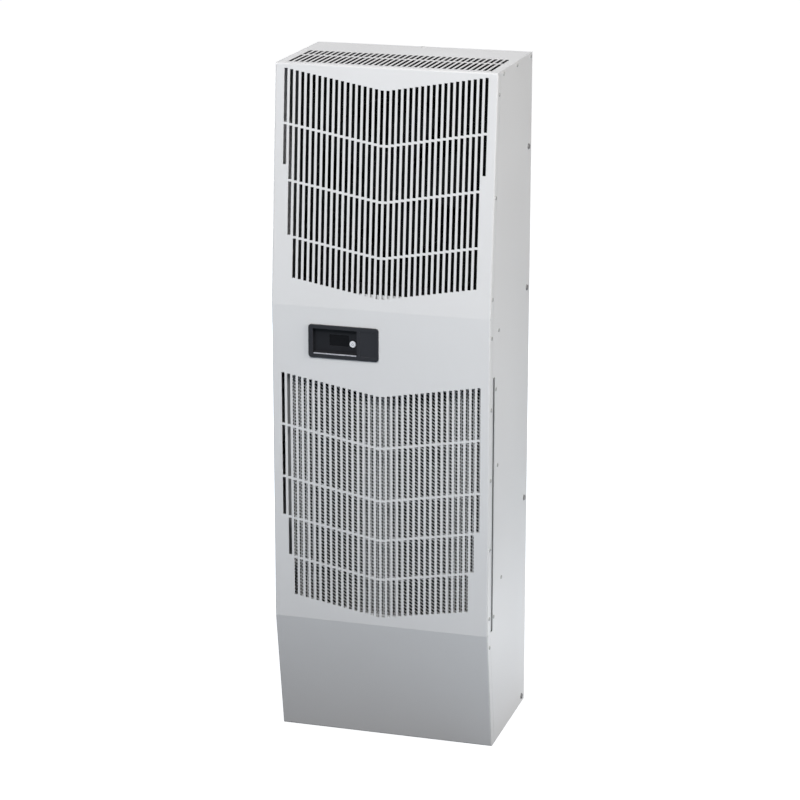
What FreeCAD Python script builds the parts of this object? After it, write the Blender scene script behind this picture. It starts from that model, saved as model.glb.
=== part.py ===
import FreeCAD, Part
import math
import os

from FreeCAD import Vector

# Enclosure air conditioner: a tall, shallow cabinet that bolts by its back to the wall of an equipment
# enclosure. Millimetres; X to the right seen from the front, Y to the back, Z up, base at Z = 0.

# Cabinet outline
WIDTH = 432.0
HEIGHT = 1334.0
DEPTH = 298.0
UPPER_FOLD_Z = 877.0
LOWER_FOLD_Z = 244.5
TOP_SETBACK = 40.0
BOTTOM_SETBACK = 40.0

# Sheet metal
SHEET = 1.5
THIN_SHEET = 1.2
CORNER_BEND = 2.5
COVER_FLANGE = 19.0
COVER_LIP = 16.0
SEAM = 0.8
LAP = 4.0
TOP_FLANGE = 25.0
BACK_FLANGE = 40.0
PAN_WALL = 30.0
DECK_FLANGE = 38.0
DECK_FLANGE_DEPTH = 60.0
RELIEF_RADIUS = 2.0
RELIEF_INSET = 3.0
FIT = 0.3
RUNNING_FIT = 0.08
CUT = 2.0

# Ventilation slots
SLOT_WIDTH = 6.35
SLOT_PITCH = 11.13
SLOT_MARGIN = 15.5
SLOT_BRIDGE = 4.6
LONG_SLOT = 101.2
SHORT_SLOT = 75.5
CHEVRON_STEP = 1.95
UPPER_GRILLE_TOP = 9.3
LOWER_GRILLE_TOP = 134.3
GRILLE_MARGIN = 14.0
TOP_VENT_SETBACK = 21.5
TOP_VENT_LONG = 76.0
TOP_VENT_SHORT = 44.5
TOP_VENT_BRIDGE = 9.0

# Air filter and its rails
FILTER_STOP_INSET = 12.5
FILTER_HEIGHT = 507.0
FILTER_THICK = 12.7
FILTER_SETBACK = 24.5
FILTER_LIFT = 2.5
FILTER_RECESS = 1.5
FILTER_BORDER = 12.7
FILTER_MEDIA = 3.0
FILTER_GROOVE = 8.0
FILTER_SLOT_END = 2.7
FILTER_SLOT_SIDE = 0.4
RAIL_WALL = 1.0
RAIL_LEG = 10.0

# Condenser coil of flat tubes
TUBE_PITCH = 10.0
TUBE_THICK = 2.0
HEADER_MARGIN = 12.0
FIN_GAP = 5.0
CONDENSER_SETBACK = 62.0
CONDENSER_DEPTH = 18.0
CONDENSER_HEADER = 10.0
HEADER_SIDE_GAP = 4.5
HEADER_FLAT = 5.0
SADDLE_HEIGHT = 24.0
SADDLE_DEPTH = 28.0
SADDLE_GRIP = 5.0

# Evaporator coil, leaning back inside the rear chamber
EVAPORATOR_Z = 640.0
EVAPORATOR_TUBE = 260.0
EVAPORATOR_DEPTH = 20.0
EVAPORATOR_HEADER = 11.0
EVAPORATOR_END_GAP = 14.0
EVAPORATOR_LEAN = 13.0
DRIP_DEPTH = 78.0
DRIP_HEIGHT = 30.0
DRAIN_RADIUS = 7.0
DRAIN_WALL = 1.5
DRAIN_SIDE = 64.5
DRAIN_INSET = 14.0

# Inner walls
DIVIDER_SETBACK = 170.0
SHELF_RISE = 22.5
SHELF_LIP = 6.0
SHELF_NOSE_GAP = 3.0
FAN_DECK_SETBACK = 118.0

# Condenser fan
FAN_RADIUS = 143.0
FAN_TIP_GAP = 4.0
FAN_BLADES = 5
FAN_HUB_RADIUS = 48.0
FAN_HUB_LENGTH = 34.0
FAN_HUB_WALL = 3.0
FAN_HUB_GAP = 8.0
FAN_BOSS_RADIUS = 12.0
FAN_BLADE_THICK = 3.0
FAN_ROOT_CHORD = 66.0
FAN_TIP_CHORD = 118.0
FAN_TRIM = 14.0
FAN_ROOT_PITCH = 30.0
FAN_TIP_PITCH = 19.0
FAN_CAMBER = 0.07
VENTURI_LENGTH = 20.0
SHAFT_RADIUS = 5.0
SHAFT_IN_MOTOR = 28.0
MOTOR_RADIUS = 45.0
MOTOR_LENGTH = 40.0
MOTOR_CHAMFER = 4.0
SPIDER_THICK = 3.0
SPIDER_ARM_WIDTH = 18.0
SPIDER_RING = 52.0
SPIDER_EYE = 14.0
SPIDER_LAP = 16.0

# Evaporator blower
BLOWER_MOTOR_LENGTH = 34.0
WHEEL_RADIUS = 95.0
WHEEL_GAP = 2.0
WHEEL_DISC = 2.0
WHEEL_BLADES = 9
WHEEL_BLADE_THICK = 1.6
WHEEL_BLADE_RADIUS = 70.0
WHEEL_BLADE_START = 60.0
WHEEL_HUB_RADIUS = 15.0
WHEEL_HUB_LENGTH = 15.0
INLET_RADIUS = 60.0
INLET_THROAT = 56.0
INLET_DEPTH = 37.0
INLET_FLANGE = 18.0
INLET_OVERLAP = 3.0
EYE_GAP = 1.5
GUARD_WIRE = 2.5
GUARD_RINGS = 3
GUARD_LAP = 5.0

# Cold air outlet
OUTLET_WIDTH = 300.0
OUTLET_HEIGHT = 120.0
OUTLET_Z = 210.0
OUTLET_BORDER = 12.0
OUTLET_WALL = 2.0
OUTLET_SLAT_PITCH = 15.0
OUTLET_SLAT_THICK = 1.5
OUTLET_SLAT_DEPTH = 10.0

# Compressor and accumulator
COMPRESSOR_X = -60.0
COMPRESSOR_SETBACK = 112.0
COMPRESSOR_RADIUS = 54.0
COMPRESSOR_WALL_HEIGHT = 155.0
COMPRESSOR_DOME = 32.0
SEAM_BEAD = 2.0
SEAM_BEAD_HEIGHT = 6.0
TERMINAL_COVER = (40.0, 24.0, 46.0)
FOOT_PLATE = 3.0
FOOT_EDGE = 12.0
FOOT_SPAN_X = 140.0
FOOT_SPAN_Y = 76.0
FOOT_LIFT = 20.0
GROMMET_RADIUS = 11.0
STUD_RADIUS = 4.0
STUD_TIP = 4.0
NUT_THICK = 6.5
NUT_ACROSS = 13.0
ACCUMULATOR_X = 40.0
ACCUMULATOR_SETBACK = 112.0
ACCUMULATOR_RADIUS = 27.0
ACCUMULATOR_Z = 55.0
ACCUMULATOR_WALL_HEIGHT = 90.0
ACCUMULATOR_DOME = 16.0
STUB_RADIUS = 7.0
STUB_LIFT = 20.0

# Refrigerant lines
DISCHARGE_RADIUS = 5.0
LIQUID_RADIUS = 4.0
EXPANSION_RADIUS = 3.0
SUCTION_RADIUS = 7.0
LINE_BEND = 20.0
LINE_RUN_Z = 300.0
LINE_TAP = 40.0
LIQUID_BEND = 12.0
DRIER_SIDE = 64.5
DRIER_SETBACK = 125.0
DRIER_RADIUS = 20.0
DRIER_LENGTH = 90.0
DRIER_CONE = 14.0
DRIER_Z = 300.0
CLAMP_WALL = 1.5
CLAMP_HEIGHT = 20.0
CLAMP_Z = 333.0
CLAMP_FOOT = 26.0
GROMMET_LAND = 3.0
GROMMET_LIP = 3.0
GROMMET_LIP_THICK = 2.5

# Control bezel in the cover
BEZEL_WIDTH = 139.7
BEZEL_HEIGHT = 65.0
BEZEL_X = -72.2
BEZEL_DROP = 66.3
BEZEL_PROUD = 3.0
BEZEL_CORNER = 6.0
BEZEL_EDGE = 1.0
BEZEL_BORDER = 4.5
BEZEL_BODY = 12.0
WINDOW_LEFT = 9.0
WINDOW_WIDTH = 88.0
WINDOW_INSET = 7.5
WINDOW_DEPTH = 10.0
WINDOW_LEDGE = 3.5
GRIP_LEFT = 103.0
GRIP_WIDTH = 32.0
GRIP_INSET = 8.0
GRIP_DEPTH = 0.8
LENS_WIDTH = 38.0
LENS_HEIGHT = 21.0
LENS_THICK = 2.0
LENS_LEFT = 40.0
LENS_DROP = 20.3
BUTTON_RADIUS = 6.2
BUTTON_LEFT = 86.3
BUTTON_DROP = 36.0
BUTTON_PROUD = 2.0
BUTTON_EDGE = 0.7
BUTTON_COLLAR = 1.5
BUTTON_COLLAR_THICK = 1.0
BUTTON_TRAVEL = 1.5
MODULE_WIDTH = 110.0
MODULE_HEIGHT = 44.0
MODULE_LENGTH = 46.0

# Control box
BOX_LEFT = 10.0
BOX_SETBACK = 32.0
BOX_DEPTH = 60.0
BOX_HEIGHT = 132.0
CONTACTOR_SIZE = (46.0, 40.0, 72.0)
CONTACTOR_LIFT = 12.0
TERMINAL_SIZE = (52.0, 18.0, 26.0)
TERMINAL_POLES = 4
CAPACITOR_RADIUS = 22.0
CAPACITOR_HEIGHT = 88.0

# Rear fixing, gasket and cable entry
GASKET_THICK = 6.0
GASKET_WIDTH = 20.0
GASKET_INSET = 6.0
BOLT_INSET = 40.0
BOLT_END = 60.0
BOLT_HOLE_RADIUS = 4.0
BOLT_ROWS = 3
GLAND_SIDE = 66.0
GLAND_Z = 860.0
GLAND_RADIUS = 10.0
GLAND_BORE = 6.0
GLAND_NUT = 28.0
GLAND_NUT_THICK = 5.0
GLAND_LENGTH = 12.0

# Fasteners
SCREW_RADIUS = 2.0
SCREW_HEAD_RADIUS = 3.8
SCREW_HEAD = 2.0
SCREW_LENGTH = 6.0
SCREW_HOLE = 0.2
FLANGE_SCREW_INSET = 10.5
UPPER_SCREWS = 3
MIDDLE_SCREWS = 5
UPPER_SCREW_TOP = 41.0
UPPER_SCREW_FOLD = 35.0
MIDDLE_SCREW_TOP = 39.0
MIDDLE_SCREW_BOTTOM = 33.5
LOWER_SCREW_DROP = 27.5
TOP_SCREW_DROP = 7.0
TOP_SCREW_SETBACKS = (79.0, 180.0)
TOP_SCREW_REAR = 13.0
REAR_SCREW_INSET = 9.0
DECK_SCREW_SETBACK = 44.0
DECK_SCREW_LIFT = 24.0
COIL_SCREW_Z = 574.0
BOX_SCREW_LIFT = 86.0
CLAMP_SCREW_SETBACK = 100.0
SIDE_BOLT_RADIUS = 4.0
SIDE_BOLT_HEAD_RADIUS = 6.0
SIDE_BOLT_HEAD = 3.0
SIDE_BOLT_LENGTH = 10.0
SIDE_BOLT_INSET = 23.0
SIDE_BOLT_Z = (14.0, 441.0, 874.0, 1154.0)

# Planes and levels worked out from the sizes above
HALF = WIDTH / 2
FRONT_Y = BEZEL_PROUD - (BEZEL_PROUD + DEPTH + GASKET_THICK) / 2
REAR_Y = FRONT_Y + DEPTH
INNER_HALF = HALF - SHEET
LINED_HALF = INNER_HALF - SHEET
GLAND_X = HALF - GLAND_SIDE
DRIER_X = INNER_HALF - DRIER_SIDE
DRAIN_X = DRAIN_SIDE - INNER_HALF
TOP_EDGE_Y = FRONT_Y + TOP_SETBACK
BOTTOM_EDGE_Y = FRONT_Y + BOTTOM_SETBACK
UPPER_SLOPE = math.atan2(TOP_SETBACK, HEIGHT - UPPER_FOLD_Z)
LOWER_SLOPE = math.atan2(BOTTOM_SETBACK, LOWER_FOLD_Z)
COLUMNS = 2 * int((HALF - SLOT_MARGIN) / SLOT_PITCH)
FILTER_Z = LOWER_FOLD_Z + FILTER_LIFT
FILTER_TOP = FILTER_Z + FILTER_HEIGHT
FILTER_Y = FRONT_Y + FILTER_SETBACK
FILTER_RIGHT = HALF - FILTER_RECESS
FILTER_LEFT = FILTER_STOP_INSET - LINED_HALF
RAIL_FRONT_Y = FILTER_Y - FIT - RAIL_WALL
RAIL_REAR_Y = FILTER_Y + FILTER_THICK + FIT + RAIL_WALL
LOWER_DECK_TOP = FILTER_Z - FIT
UPPER_DECK_BOTTOM = FILTER_TOP + FIT
UPPER_DECK_TOP = UPPER_DECK_BOTTOM + SHEET
BOX_FRONT_Y = FRONT_Y + BOX_SETBACK
BOX_REAR_Y = BOX_FRONT_Y + BOX_DEPTH
BOX_RIGHT = INNER_HALF - FIT
BOX_ROOM = BOX_RIGHT - BOX_LEFT - 2 * THIN_SHEET
BOX_GAP = (BOX_ROOM - CONTACTOR_SIZE[0] - 2 * CAPACITOR_RADIUS - TERMINAL_SIZE[0]) / 4
CONTACTOR_X = BOX_LEFT + THIN_SHEET + BOX_GAP + CONTACTOR_SIZE[0] / 2
CAPACITOR_X = CONTACTOR_X + CONTACTOR_SIZE[0] / 2 + BOX_GAP + CAPACITOR_RADIUS
TERMINAL_X = CAPACITOR_X + CAPACITOR_RADIUS + BOX_GAP + TERMINAL_SIZE[0] / 2
DIVIDER_Y = FRONT_Y + DIVIDER_SETBACK
SHELF_Z = UPPER_FOLD_Z + SHELF_RISE
SHELF_TOP = SHELF_Z + SHEET
FAN_DECK_Y = FRONT_Y + FAN_DECK_SETBACK
FAN_Z = (SHELF_TOP + HEIGHT - SHEET) / 2
ORIFICE_RADIUS = FAN_RADIUS + FAN_TIP_GAP
SPIDER_Y = FAN_DECK_Y + SHEET
MOTOR_Y = SPIDER_Y + SPIDER_THICK
FAN_HUB_REAR_Y = SPIDER_Y - FAN_HUB_GAP
FAN_HUB_Y = FAN_HUB_REAR_Y - FAN_HUB_LENGTH
BLOWER_MOTOR_Y = DIVIDER_Y + SHEET
WHEEL_Y = BLOWER_MOTOR_Y + BLOWER_MOTOR_LENGTH + WHEEL_GAP
BACK_INNER_Y = REAR_Y - SHEET
WHEEL_FRONT_Y = BACK_INNER_Y - INLET_DEPTH + INLET_OVERLAP + WHEEL_DISC
WHEEL_WIDTH = WHEEL_FRONT_Y - WHEEL_Y
CONDENSER_Y = FRONT_Y + CONDENSER_SETBACK
CONDENSER_HEADER_X = INNER_HALF - HEADER_SIDE_GAP - CONDENSER_HEADER
CONDENSER_LENGTH = UPPER_DECK_BOTTOM - LOWER_DECK_TOP - FIT
COMPRESSOR_Y = FRONT_Y + COMPRESSOR_SETBACK
FOOT_Z = SHEET + FOOT_LIFT
SHELL_Z = FOOT_Z + FOOT_PLATE
SHELL_TOP = SHELL_Z + COMPRESSOR_WALL_HEIGHT + COMPRESSOR_DOME
ACCUMULATOR_Y = FRONT_Y + ACCUMULATOR_SETBACK
ACCUMULATOR_TOP = ACCUMULATOR_Z + ACCUMULATOR_WALL_HEIGHT + 2 * ACCUMULATOR_DOME
DRIER_Y = FRONT_Y + DRIER_SETBACK
EVAPORATOR_Y = (BLOWER_MOTOR_Y + BACK_INNER_Y) / 2
EVAPORATOR_REACH = EVAPORATOR_TUBE / 2 + HEADER_FLAT
LEAN = math.radians(EVAPORATOR_LEAN)
EVAPORATOR_TOP_Y = EVAPORATOR_Y + EVAPORATOR_REACH * math.sin(LEAN)
EVAPORATOR_TOP_Z = EVAPORATOR_Z + EVAPORATOR_REACH * math.cos(LEAN)
EVAPORATOR_BOTTOM_Z = EVAPORATOR_Z - EVAPORATOR_REACH * math.cos(LEAN)
DRIP_FLOOR = EVAPORATOR_BOTTOM_Z - EVAPORATOR_HEADER - FIT
BEZEL_Z = UPPER_FOLD_Z - BEZEL_DROP
BEZEL_LEFT = BEZEL_X - BEZEL_WIDTH / 2
BEZEL_TOP = BEZEL_Z + BEZEL_HEIGHT / 2
FLOOR_Y = FRONT_Y - BEZEL_PROUD + WINDOW_DEPTH
BODY_Y = FRONT_Y + BEZEL_BODY
BUTTON_X = BEZEL_LEFT + BUTTON_LEFT
BUTTON_Z = BEZEL_TOP - BUTTON_DROP

X_AXIS = Vector(1, 0, 0)
Y_AXIS = Vector(0, 1, 0)
Z_AXIS = Vector(0, 0, 1)
ORIGIN = Vector(0, 0, 0)


# Building helpers


def block(x, y, z):
    """A box from its low and high ends along each axis."""
    return Part.makeBox(x[1] - x[0], y[1] - y[0], z[1] - z[0], Vector(x[0], y[0], z[0]))


def rod(radius, start, direction, length):
    return Part.makeCylinder(radius, length, Vector(*start), direction)


def ring(outer, inner, start, direction, length):
    return rod(outer, start, direction, length).cut(rod(inner, start, direction, length))


def join(shapes):
    """One solid from touching or overlapping ones."""
    if len(shapes) == 1:
        return shapes[0]
    return shapes[0].multiFuse(shapes[1:]).removeSplitter()


def cut_all(shape, tools):
    return shape.cut(Part.makeCompound(tools)) if tools else shape


def both_sides(shape):
    return [shape, shape.mirror(ORIGIN, X_AXIS)]


def prism_x(outline, x_low, x_high):
    """A (y, z) outline drawn out along X."""
    points = [Vector(x_low, y, z) for y, z in outline]
    return Part.Face(Part.makePolygon(points + points[:1])).extrude(Vector(x_high - x_low, 0, 0))


def hexagon(across, centre, direction, length):
    """A nut blank: a hexagonal prism with its flats `across` apart."""
    prism = Part.Face(Part.makePolygon([
        Vector(across / math.sqrt(3) * math.cos(math.radians(60 * k)),
               across / math.sqrt(3) * math.sin(math.radians(60 * k)), 0)
        for k in range(7)
    ])).extrude(Vector(0, 0, length))
    prism.Placement = FreeCAD.Placement(Vector(*centre), FreeCAD.Rotation(Z_AXIS, direction))
    return prism


def turned(profile, centre, direction=Z_AXIS):
    """A solid of revolution from (radius, height) edges that start and end on the axis."""
    wire = Part.Wire(profile)
    solid = Part.Face(wire).revolve(ORIGIN, Z_AXIS, 360)
    solid.Placement = FreeCAD.Placement(Vector(*centre), FreeCAD.Rotation(Z_AXIS, direction))
    return solid


def profile_line(start, end):
    return Part.LineSegment(Vector(start[0], 0, start[1]), Vector(end[0], 0, end[1])).toShape()


def profile_arc(start, middle, end):
    return Part.Arc(*(Vector(r, 0, z) for r, z in (start, middle, end))).toShape()


def pressed_head(radius, rise, base, sign):
    """Knuckle and crown arcs of a pressed vessel end, from its wall to its apex on the axis."""
    knuckle = rise / 2
    inner = radius - knuckle
    crown = (inner ** 2 + rise ** 2 - knuckle ** 2) / (2 * (rise - knuckle))
    turn = math.atan2(crown - rise, inner)

    def knuckle_spot(angle):
        return (inner + knuckle * math.cos(angle), base + sign * knuckle * math.sin(angle))

    def crown_spot(angle):
        return (crown * math.cos(angle), base + sign * (rise - crown + crown * math.sin(angle)))

    return [
        profile_arc((radius, base), knuckle_spot(turn / 2), knuckle_spot(turn)),
        profile_arc(knuckle_spot(turn), crown_spot((turn + math.pi / 2) / 2), (0, base + sign * rise)),
    ]


def capsule(radius, wall, bottom_head, top_head, centre):
    """A pressed vessel: a straight wall between two domed ends, standing on its lowest point."""
    low = bottom_head
    high = bottom_head + wall
    if bottom_head > 0:
        floor = pressed_head(radius, bottom_head, low, -1)[::-1]
    else:
        floor = [profile_line((0, 0), (radius, 0))]
    walls = [profile_line((radius, low), (radius, high))]
    axis = [profile_line((0, high + top_head), (0, 0))]
    return turned(floor + walls + pressed_head(radius, top_head, high, 1) + axis, centre)


def bent_tube(points, radius, bend):
    """A round tube along straight runs joined by tangent arcs of one bend radius."""
    route = [Vector(*p) for p in points]
    edges = []
    start = route[0]
    for before, corner, after in zip(route, route[1:], route[2:]):
        back = (before - corner).normalize()
        ahead = (after - corner).normalize()
        half_turn = back.getAngle(ahead) / 2
        reach = bend / math.tan(half_turn)
        middle = corner + (back + ahead).normalize() * (bend / math.sin(half_turn) - bend)
        edges.append(Part.LineSegment(start, corner + back * reach).toShape())
        edges.append(Part.Arc(corner + back * reach, middle, corner + ahead * reach).toShape())
        start = corner + ahead * reach
    edges.append(Part.LineSegment(start, route[-1]).toShape())
    section = Part.Wire(Part.makeCircle(radius, route[0], route[1] - route[0]))
    return Part.Wire(edges).makePipeShell([section], True, False)


# Front outline shared by the cover and the side panels


def front_y(z, inset=0.0):
    """Y of the cover's face at height z, moved `inset` inward square to its facet."""
    if z > UPPER_FOLD_Z:
        return FRONT_Y + (z - UPPER_FOLD_Z) * math.tan(UPPER_SLOPE) + inset / math.cos(UPPER_SLOPE)
    if z < LOWER_FOLD_Z:
        return FRONT_Y + (LOWER_FOLD_Z - z) * math.tan(LOWER_SLOPE) + inset / math.cos(LOWER_SLOPE)
    return FRONT_Y + inset


def front_line(inset):
    """The three-facet outline from top to bottom, as (y, z) points."""
    return [
        (front_y(HEIGHT, inset), HEIGHT),
        (FRONT_Y + inset, UPPER_FOLD_Z - inset * math.tan(UPPER_SLOPE / 2)),
        (FRONT_Y + inset, LOWER_FOLD_Z + inset * math.tan(LOWER_SLOPE / 2)),
        (front_y(0.0, inset), 0.0),
    ]


def spread(first, last, count):
    return [first + (last - first) * k / (count - 1) for k in range(count)]


def cover_screw_spots():
    """Where the screws stand on a side flange of the cover, as (y, z)."""
    heights = spread(HEIGHT - UPPER_SCREW_TOP, UPPER_FOLD_Z + UPPER_SCREW_FOLD, UPPER_SCREWS)
    heights += spread(UPPER_FOLD_Z - MIDDLE_SCREW_TOP, LOWER_FOLD_Z + MIDDLE_SCREW_BOTTOM, MIDDLE_SCREWS)
    heights.append(LOWER_FOLD_Z - LOWER_SCREW_DROP)
    return [(front_y(z, FLANGE_SCREW_INSET), z) for z in heights]


def top_screw_spots():
    spots = [(FRONT_Y + d, HEIGHT - TOP_SCREW_DROP) for d in TOP_SCREW_SETBACKS]
    return spots + [(REAR_Y - TOP_SCREW_REAR, HEIGHT - TOP_SCREW_DROP)]


def bracket_screw_spots(right):
    """Screws that hold the inner shelves and brackets to a side panel."""
    spots = [
        (FRONT_Y + DECK_SCREW_SETBACK, LOWER_DECK_TOP + DECK_SCREW_LIFT),
        (FRONT_Y + DECK_SCREW_SETBACK, UPPER_DECK_BOTTOM - DECK_SCREW_LIFT),
        (CONDENSER_Y, COIL_SCREW_Z),
    ]
    if right:
        spots.append((BOX_FRONT_Y + BOX_DEPTH / 2, UPPER_DECK_TOP + BOX_SCREW_LIFT))
        spots.append((FRONT_Y + CLAMP_SCREW_SETBACK, CLAMP_Z))
    return spots


def side_bolt_spots():
    return [(REAR_Y - SIDE_BOLT_INSET, z) for z in SIDE_BOLT_Z]


def side_holes(spots, radius, sign=1):
    """Tools for holes along X through everything within reach of one side."""
    reach = max(SCREW_LENGTH, SIDE_BOLT_LENGTH) + 2 * CUT
    start = sign * (HALF + CUT)
    return [rod(radius, (start, y, z), X_AXIS * -sign, reach) for y, z in spots]


def rear_bolt_spots():
    x = HALF - BOLT_INSET
    heights = spread(BOLT_END, HEIGHT - BOLT_END, BOLT_ROWS)
    return [(sign * x, z) for z in heights for sign in (-1, 1)]


SCREW_CLEAR = SCREW_RADIUS + SCREW_HOLE
BOLT_CLEAR = SIDE_BOLT_RADIUS + SCREW_HOLE


# Cabinet shells


def grille(corner, slope_down, first_top, length, rows_of):
    """Tools for one grille of upright slots, each column lower than the one outside it.

    corner is the facet's upper edge as (y, z), slope_down its angle from straight down.
    """
    along = (math.sin(slope_down), -math.cos(slope_down))
    inward = (math.cos(slope_down), math.sin(slope_down))

    def spot(down, deep):
        return (corner[0] + along[0] * down + inward[0] * deep,
                corner[1] + along[1] * down + inward[1] * deep)

    tools = []
    for column in range(COLUMNS):
        x = (column - (COLUMNS - 1) / 2) * SLOT_PITCH
        top = first_top + min(column, COLUMNS - 1 - column) * CHEVRON_STEP
        for slot in rows_of(column):
            end = top + slot
            if end > length - GRILLE_MARGIN:
                break
            outline = [spot(top, -CUT), spot(end, -CUT), spot(end, SHEET + CUT), spot(top, SHEET + CUT)]
            tools.append(prism_x(outline, x - SLOT_WIDTH / 2, x + SLOT_WIDTH / 2))
            top = end + SLOT_BRIDGE
    return tools


def upper_rows(column):
    """Slot lengths down one column of the upper grille, shortest at the outer columns."""
    if min(column, COLUMNS - 1 - column) == 0:
        return [LONG_SLOT, SHORT_SLOT]
    if column == 1:
        return [LONG_SLOT] * 3
    return [LONG_SLOT] * 3 + [SHORT_SLOT]


def lower_rows(column):
    rank = min(column, COLUMNS - 1 - column)
    return [LONG_SLOT] * 2 + [SHORT_SLOT] * min(rank + 1, 3)


def front_cover():
    """Folded front sheet with returned edges and both slot patterns."""
    outer = front_line(0.0)
    sheet = prism_x(outer + front_line(SHEET)[::-1], -HALF, HALF)
    flange = prism_x(outer + front_line(COVER_FLANGE)[::-1], INNER_HALF, HALF)
    top_lip = block((-HALF, HALF), (TOP_EDGE_Y, TOP_EDGE_Y + COVER_LIP), (HEIGHT - SHEET, HEIGHT))
    bottom_lip = block((-HALF, HALF), (BOTTOM_EDGE_Y, BOTTOM_EDGE_Y + COVER_LIP), (0.0, SHEET))
    cover = join([sheet, top_lip, bottom_lip] + both_sides(flange))

    def on_corner(edge):
        y, z = edge.CenterOfMass.y, edge.CenterOfMass.z
        on_face = abs(y - front_y(z)) < FIT
        long_side = abs(abs(edge.CenterOfMass.x) - HALF) < FIT and edge.Length > LONG_SLOT
        top_or_bottom = edge.Length > WIDTH - FIT
        return on_face and (long_side or (top_or_bottom and (z < FIT or z > HEIGHT - FIT)))

    cover = cover.makeFillet(CORNER_BEND, [e for e in cover.Edges if on_corner(e)])
    tools = grille(outer[0], -UPPER_SLOPE, UPPER_GRILLE_TOP,
                   math.hypot(TOP_SETBACK, HEIGHT - UPPER_FOLD_Z), upper_rows)
    tools += grille(outer[1], 0.0, LOWER_GRILLE_TOP, UPPER_FOLD_Z - LOWER_FOLD_Z, lower_rows)
    tools.append(bezel_block(BEZEL_BORDER - FIT, FRONT_Y - CUT, FRONT_Y + SHEET + CUT))
    for sign in (-1, 1):
        tools += side_holes(cover_screw_spots(), SCREW_CLEAR, sign)
        reliefs = [(front_y(z, RELIEF_INSET), z) for z in (UPPER_FOLD_Z, LOWER_FOLD_Z)]
        reliefs.append((front_y(HEIGHT, RELIEF_INSET), HEIGHT - RELIEF_INSET))
        tools += [rod(RELIEF_RADIUS, (sign * (HALF + CUT), y, z), X_AXIS * -sign, SHEET + CUT)
                  for y, z in reliefs]
    return cut_all(cover, tools)


def side_panel(right):
    """Flat side with a joggled front tab behind the cover's flange, drawn on the right."""
    skin = prism_x(front_line(COVER_FLANGE + SEAM) + [(REAR_Y, 0.0), (REAR_Y, HEIGHT)], INNER_HALF, HALF)
    tab = prism_x(front_line(SHEET + FIT) + front_line(COVER_FLANGE + SEAM + LAP)[::-1],
                  LINED_HALF, INNER_HALF)
    tab = tab.common(block((0, WIDTH), (FRONT_Y, REAR_Y), (SHEET + FIT, HEIGHT - SHEET - FIT)))
    panel = join([skin, tab])
    tools = side_holes(cover_screw_spots() + top_screw_spots() + bracket_screw_spots(right), SCREW_CLEAR)
    tools += side_holes(side_bolt_spots(), BOLT_CLEAR)
    if right:
        tools.append(block((LINED_HALF - CUT, HALF + CUT),
                           (FILTER_Y - FILTER_SLOT_SIDE, FILTER_Y + FILTER_THICK + FILTER_SLOT_SIDE),
                           (FILTER_Z - FILTER_SLOT_END, FILTER_TOP + FILTER_SLOT_END)))
    panel = cut_all(panel, tools)
    return panel if right else panel.mirror(ORIGIN, X_AXIS)


def top_panel():
    """Vented top sheet with turned-down sides and a tab under the cover's lip."""
    front = TOP_EDGE_Y + COVER_LIP + SEAM
    sheet = block((-INNER_HALF, INNER_HALF), (front, REAR_Y), (HEIGHT - SHEET, HEIGHT))
    tab_half = LINED_HALF - FIT
    tab = block((-tab_half, tab_half), (TOP_EDGE_Y + SHEET + CORNER_BEND, front + LAP),
                (HEIGHT - 2 * SHEET, HEIGHT - SHEET))
    flange_front = front_y(HEIGHT, COVER_FLANGE + SEAM + LAP) + CUT
    flange = block((LINED_HALF, INNER_HALF), (flange_front, REAR_Y - BACK_FLANGE - CUT),
                   (HEIGHT - TOP_FLANGE, HEIGHT))
    panel = join([sheet, tab] + both_sides(flange))
    tools = []
    for column in range(COLUMNS):
        x = (column - (COLUMNS - 1) / 2) * SLOT_PITCH
        start = TOP_EDGE_Y + TOP_VENT_SETBACK
        for length in (TOP_VENT_LONG, TOP_VENT_SHORT):
            tools.append(block((x - SLOT_WIDTH / 2, x + SLOT_WIDTH / 2), (start, start + length),
                               (HEIGHT - SHEET - CUT, HEIGHT + CUT)))
            start += length + TOP_VENT_BRIDGE
    for sign in (-1, 1):
        tools += side_holes(top_screw_spots(), SCREW_CLEAR, sign)
    tools.append(rear_screw_hole())
    return cut_all(panel, tools)


def rear_screw_hole():
    """Tool for the one screw that ties the top panel to the back panel."""
    return rod(SCREW_CLEAR, (0, REAR_Y - REAR_SCREW_INSET, HEIGHT + CUT), -Z_AXIS, 2 * SHEET + 2 * CUT)


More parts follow.
